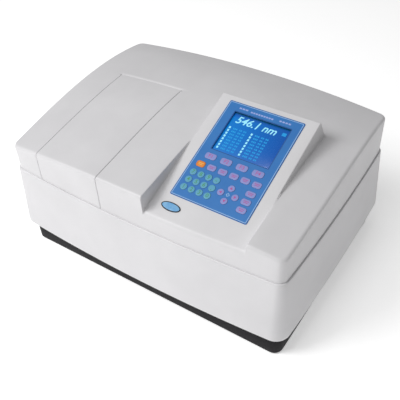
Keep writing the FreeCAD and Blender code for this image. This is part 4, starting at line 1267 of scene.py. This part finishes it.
@dataclass
class Keypad:
    """The blue overlay, its printed lines, and 29 sprung keys with their legends."""

    bed: Bed
    stamps: Stamps
    ink: float = 0.04
    edge_margin: float = 0.7
    border_margin: float = 3.6
    bezel_margin: float = 3.0

    def legends(self) -> dict[str, Legend]:
        """The legend of every key, by the key's node."""
        made = {f"key_f{number}": Legend(Mark.TEXT, f"F{number}", 7.0, INK_PINK) for number in range(1, 5)}
        made |= {f"key_function_{number}": Legend(Mark.BARS, "", 1.0, INK_PINK) for number in range(1, 6)}
        made |= {f"key_{name}": Legend(Mark.BARS, "", 1.0, INK_PINK)
                 for name in ("clear", "start", "enter")}
        made["key_return"] = Legend(Mark.BARS, "", 1.0, INK_AMBER)
        made |= {f"key_{digit}": Legend(Mark.TEXT, digit, 7.6, INK_GREEN) for digit in "0123456789"}
        made["key_minus"] = Legend(Mark.TEXT, "-", 9.0, INK_GREEN)
        made["key_point"] = Legend(Mark.TEXT, ".", 11.0, INK_GREEN)
        turns = {"up": 0.0, "left": 90.0, "down": 180.0, "right": -90.0}
        made |= {f"key_{name}": Legend(Mark.ARROW, "", 6.0, INK_PINK, math.radians(turn))
                 for name, turn in turns.items()}
        return made

    def cap_finish(self, node: str) -> Finish:
        """The colour of a key's cap."""
        if node == "key_return":
            return KEY_ORANGE
        name = node.removeprefix("key_")
        return KEY_GREEN if name.isdigit() or name in ("minus", "point") else KEY_LILAC

    def build(self) -> None:
        """Make and dress the overlay, its lines and the keys."""
        refined("keypad_overlay", OVERLAY, "overlay_film", 0.18,
                where=lambda spot: (spot - self.bed.centre).dot(self.bed.normal) > 0.9)
        self.build_lines()
        for node, legend in self.legends().items():
            refined(node, self.cap_finish(node), f"{node}_cap_finished", 0.0)
            self.print_legend(node, legend)

    def build_lines(self) -> None:
        """Print the border, the display's frame, the captions and the mark amid the arrows."""
        level = self.bed.middle("keypad_overlay")[2] - 0.01
        wide, long = self.bed.size("keypad_overlay")
        middle = self.bed.matrix(level=level)
        edge = frame_strip("overlay_edge", middle, (wide - self.edge_margin, long - self.edge_margin),
                           0.9, 3.0, self.ink)
        finish_piece(edge, OVERLAY_DARK)
        border = frame_strip("overlay_border", middle,
                             (wide - self.border_margin, long - self.border_margin), 1.2, 2.0, self.ink)
        finish_piece(border, OVERLAY_LINE)
        centre = self.bed.middle("display_module")[:2]
        window = self.bed.window()
        bezel = frame_strip("display_bezel", self.bed.matrix(*centre, level),
                            (window[0] + self.bezel_margin, window[1] + self.bezel_margin),
                            1.3, 1.5, self.ink)
        finish_piece(bezel, OVERLAY_DARK)
        top = centre[1] + window[1] / 2 + 8.8
        groups = ((-44.0, 0.6, 3, 6.4, 5.0), (-6.0, -0.8, 9, 5.2, 4.0), (40.0, 0.4, 4, 6.0, 4.4))
        captions = []
        for number, (shift, lift, columns, pitch, width) in enumerate(groups):
            place = self.bed.matrix(centre[0] + shift, top + lift, level + 0.02)
            captions.append(self.stamps.lay(f"caption_{number}", place, columns, 1, (pitch, 1.0),
                                            (width, 3.2, self.ink), OVERLAY_LILAC))
        finish_piece(join("overlay_captions", captions), OVERLAY_LILAC)
        self.build_arrow_mark(level)

    def build_arrow_mark(self, level: float) -> None:
        """The small diamond amid the four arrow keys."""
        spots = [self.bed.middle(f"key_{name}") for name in ("up", "down", "left", "right")]
        u = sum(spot[0] for spot in spots) / 4
        v = sum(spot[1] for spot in spots) / 4
        mark = frame_strip("arrow_mark", self.bed.matrix(u, v, level, math.pi / 4), (5.4, 5.4),
                           1.1, 0.8, self.ink)
        finish_piece(mark, OVERLAY_LINE)

    def print_legend(self, node: str, legend: Legend) -> None:
        """Print one key's legend on its cap."""
        u, v, top = self.bed.middle(node)
        name = f"{node}_legend"
        level = top + self.ink / 2
        matrix = self.bed.matrix(u, v, level, legend.turn)
        if legend.mark is Mark.TEXT:
            piece = text_mesh(name, legend.words, legend.height, matrix, self.ink, weight=0.12)
        elif legend.mark is Mark.ARROW:
            draft = Draft()
            size = legend.height / 2
            foot = -size * 0.7
            draft.plate([(-size, foot), (size, foot), (0.0, size)], -self.ink / 2, self.ink / 2)
            piece = draft.make(name, matrix)
        else:
            rows = [self.stamps.lay(f"{name}_{row}", self.bed.matrix(u, v + lift, level), count, 1,
                                    (2.6, 1.0), (2.0, 1.7, self.ink), legend.ink)
                    for row, (lift, count) in enumerate(((1.5, 4), (-1.5, 3)))]
            piece = join(name, rows)
        finish_piece(piece, legend.ink, frame["nodes"][node]["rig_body"])


@dataclass
class Display:
    """The lit display: its glass, a reading at the head, two columns of entries and a square mark.

    The shares say where a thing lies from the window's middle, as parts of its width or length.
    """

    bed: Bed
    stamps: Stamps
    ink: float = 0.04
    reading: str = "546.1 nm"
    reading_height: float = 15.5
    reading_lean: float = 0.25
    reading_weight: float = 0.3
    reading_shift: float = -7.0
    reading_share: float = 0.34
    entries: int = 8
    pitch: float = 6.6
    entries_share: float = -0.145
    column_shares: tuple[float, float] = (-0.44, -0.045)
    bullet: tuple[float, float] = (3.6, 4.4)
    dash: tuple[float, float] = (2.4, 3.4)
    dash_pitch: float = 3.2
    blocks: tuple[tuple[float, int], ...] = ((8.0, 3), (20.6, 2), (29.4, 2))
    mark: tuple[float, float] = (8.0, 7.0)
    mark_shares: tuple[float, float] = (0.43, 0.355)

    def build(self) -> None:
        """Make and dress the display."""
        refined("display_module", DISPLAY, "display_glass", 0.2)
        u, v, top = self.bed.middle("display_module")
        level = top + self.ink / 2
        width, length = self.bed.window()
        place = self.bed.matrix(u + self.reading_shift, v + length * self.reading_share, level)
        head = text_mesh("display_reading", self.reading, self.reading_height, place, self.ink,
                         self.reading_lean, self.reading_weight)
        finish_piece(head, DISPLAY_WHITE)
        self.build_entries(u, v + length * self.entries_share, width, level)
        place = self.bed.matrix(u + width * self.mark_shares[0], v + length * self.mark_shares[1], level)
        mark = self.stamps.lay("display_mark", place, 1, 1, (1.0, 1.0), (*self.mark, self.ink), DISPLAY_DIM)
        finish_piece(mark, DISPLAY_DIM)

    def build_entries(self, u: float, v: float, width: float, level: float) -> None:
        """Lay two columns of entries: a bullet and three blocks of dashes in each row.

        Args:
            u: the window's middle across the bed.
            v: the middle of the rows up the bed.
            width: the window's width.
            level: the middle of the ink out of the bed.
        """
        bullets, dashes = [], []
        for column, share in enumerate(self.column_shares):
            left = u + width * share
            place = self.bed.matrix(left, v, level)
            bullets.append(self.stamps.lay(f"bullets_{column}", place, 1, self.entries, (1.0, self.pitch),
                                           (*self.bullet, self.ink), DISPLAY_WHITE))
            for block, (shift, count) in enumerate(self.blocks):
                place = self.bed.matrix(left + shift + (count - 1) * self.dash_pitch / 2, v, level)
                dashes.append(self.stamps.lay(f"dashes_{column}_{block}", place, count, self.entries,
                                              (self.dash_pitch, self.pitch), (*self.dash, self.ink),
                                              DISPLAY_DIM))
        finish_piece(join("display_bullets", bullets), DISPLAY_WHITE)
        finish_piece(join("display_entries", dashes), DISPLAY_DIM)


@dataclass
class Badge:
    """Blank oval badge: a plated rim round a domed enamel field."""

    bed: Bed
    rim: float = 1.9
    field_gap: float = 0.05
    pieces: int = 64
    dome_rings: int = 5

    def oval(self, shrink: float, level: float) -> list[tuple[float, float, float]]:
        """One ring of the badge, drawn in by a distance."""
        half_u, half_v = (side / 2 - shrink for side in self.bed.size("badge"))
        turns = [2 * math.pi * step / self.pieces for step in range(self.pieces)]
        return [(half_u * math.cos(turn), half_v * math.sin(turn), level) for turn in turns]

    def build(self) -> None:
        """Make and dress the rim and the field."""
        u, v, tall = self.bed.middle("badge")
        matrix = self.bed.matrix(u, v, 0.0)
        draft = Draft()
        section = [(0.0, 0.0), (0.0, tall * 0.55), (0.25, tall * 0.85), (0.8, tall),
                   (self.rim - 0.5, tall * 0.95), (self.rim, tall * 0.7), (self.rim, 0.0)]
        rings = [draft.points_of(self.oval(shrink, level)) for shrink, level in section]
        for near, far in zip(rings, rings[1:] + rings[:1]):
            draft.skin(near, far)
        ring = draft.make("badge_rim", matrix)
        face_outwards(ring)
        shade(ring, 50)
        finish_piece(ring, BADGE_CHROME, stands_for=("badge",))
        draft = Draft()
        reach = self.bed.size("badge")[1] / 2 - self.rim
        inset = self.rim + self.field_gap
        rings = [draft.points_of(self.oval(inset, 0.2))]
        for number in range(self.dome_rings):
            share = number / self.dome_rings
            rise = tall * (0.62 + 0.3 * math.sin(share * math.pi / 2))
            rings.append(draft.points_of(self.oval(inset + share * reach * 0.98, rise)))
        for near, far in zip(rings, rings[1:]):
            draft.skin(near, far)
        draft.faces.append(tuple(reversed(rings[0])))
        draft.faces.append(tuple(rings[-1]))
        dome = draft.make("badge_field", matrix)
        face_outwards(dome)
        shade(dome, 50)
        finish_piece(dome, BADGE_BLUE)


# ---------------------------------------------------------------- studio
@dataclass(frozen=True)
class Lamp:
    """A square soft light: its place and width in metres, and its power in watts."""

    name: str
    place: tuple[float, float, float]
    width: float
    power: float


@dataclass
class Studio:
    """Plain pale floor, soft lights and the camera; places and sizes are in metres."""

    floor_size: float = 80.0
    room_light: float = 0.26
    floor_glow: float = 0.42
    lamps: tuple[Lamp, ...] = (Lamp("key", (-1.25, -1.6, 2.3), 1.3, 52.0),
                               Lamp("top", (-0.05, -1.0, 2.6), 0.8, 13.0))
    lamp_target: tuple[float, float, float] = (0.0, 0.0, 0.15)
    lens_mm: float = 55.63
    sensor_mm: float = 36.0
    camera_place_mm: tuple[float, float, float] = (560.5, -793.0, 964.9)
    camera_pan: float = 0.619
    camera_tilt: float = 0.832
    camera_roll: float = -0.055

    def build(self) -> None:
        """Make the floor, the lights and the camera."""
        self.build_floor()
        self.build_lights()
        self.build_camera()

    def build_floor(self) -> None:
        """A wide pale floor."""
        draft = Draft()
        half = self.floor_size / 2 / MM
        corners = ((-half, -half, 0), (half, -half, 0), (half, half, 0), (-half, half, 0))
        draft.faces.append(tuple(draft.points_of(corners)))
        floor = draft.make("floor")
        paper = Finish("studio_paper", "", "#FCFCFC", "#FBFBFB", 0.9, mottle_mm=900.0, grain_depth_mm=0.0,
                       glow=self.floor_glow)
        floor.data.materials.append(paper.build())

    def build_lights(self) -> None:
        """An even white room, a large key light over the front left and a weak one overhead."""
        world = bpy.data.worlds.new("studio")
        bpy.context.scene.world = world
        world.use_nodes = True
        back = world.node_tree.nodes["Background"]
        back.inputs["Color"].default_value = (1.0, 1.0, 1.0, 1.0)
        back.inputs["Strength"].default_value = self.room_light
        bpy.context.scene.view_settings.view_transform = "Standard"
        for lamp in self.lamps:
            light = bpy.data.lights.new(lamp.name, "AREA")
            light.energy, light.size = lamp.power, lamp.width
            holder = bpy.data.objects.new(lamp.name, light)
            holder.location = lamp.place
            aim = Vector(self.lamp_target) - Vector(lamp.place)
            holder.rotation_euler = aim.to_track_quat("-Z", "Y").to_euler()
            bpy.context.scene.collection.objects.link(holder)

    def build_camera(self) -> None:
        """A camera to the front right, above the instrument."""
        data = bpy.data.cameras.new("camera")
        data.lens, data.sensor_width = self.lens_mm, self.sensor_mm
        camera = bpy.data.objects.new("camera", data)
        turn = (Matrix.Rotation(self.camera_pan, 4, "Z") @ Matrix.Rotation(self.camera_tilt, 4, "X")
                @ Matrix.Rotation(self.camera_roll, 4, "Z"))
        camera.matrix_world = Matrix.Translation(Vector(self.camera_place_mm) * MM) @ turn
        bpy.context.scene.collection.objects.link(camera)
        bpy.context.scene.camera = camera


# ---------------------------------------------------------------- everything else
@dataclass
class Workings:
    """The pieces that keep the frame's own shape: each is welded, its edges broken, and dressed."""

    finishes: dict[str, tuple[Finish, float]] = field(default_factory=lambda: {
        "base_tray": (BASE_BLACK, 1.2), "rubber_feet": (RUBBER, 0.8), "case_screws": (SCREW_STEEL, 0.3),
        "lid_hinge_pins": (BRIGHT_STEEL, 0.2), "sample_chamber": (CHAMBER_BLACK, 0.5),
        "cell_holders": (CHAMBER_BLACK, 0.5), "keypad_board": (BOARD, 0.2), "rear_panel": (PANEL_PAINT, 0.3),
        "rear_connectors": (BLACK_PLASTIC, 0.3), "power_rocker": (BLACK_PLASTIC, 0.3),
        "fan_frame": (BLACK_PLASTIC, 0.4), "fan_rotor": (BLACK_PLASTIC, 0.2), "optical_bench": (CAST, 0.8),
        "monochromator_case": (CHAMBER_BLACK, 0.6), "grating_turret": (MIRROR, 0.3),
        "stepper_motors": (BRIGHT_STEEL, 0.5), "filter_wheel": (BRIGHT_STEEL, 0.3),
        "lamp_house": (PANEL_PAINT, 0.5), "deuterium_lamp": (LAMP_GLASS, 0.3),
        "tungsten_lamp": (LAMP_GLASS, 0.3), "lamp_mirror": (MIRROR, 0.3),
        "fixed_mirrors": (MIRROR, 0.4), "detectors": (CHAMBER_BLACK, 0.5), "main_board": (BOARD, 0.2),
        "power_supply": (PANEL_PAINT, 0.4)})

    def build(self) -> None:
        """Make and dress every one of them."""
        for node, (finish, edge) in self.finishes.items():
            refined(node, finish, edge_mm=edge)


def main() -> None:
    """Build the instrument and the studio round it."""
    logging.basicConfig(level=logging.INFO, format="%(message)s")
    form, bed, stamps = CaseForm(), Bed(), Stamps()
    skin = CrownedSkin(form, bed)
    TopCover(skin).build()
    SampleLid(skin).build()
    LowerCase(form).build()
    Keypad(bed, stamps).build()
    Display(bed, stamps).build()
    Badge(bed).build()
    Workings().build()
    Studio().build()


if __name__ == "__main__":
    main()
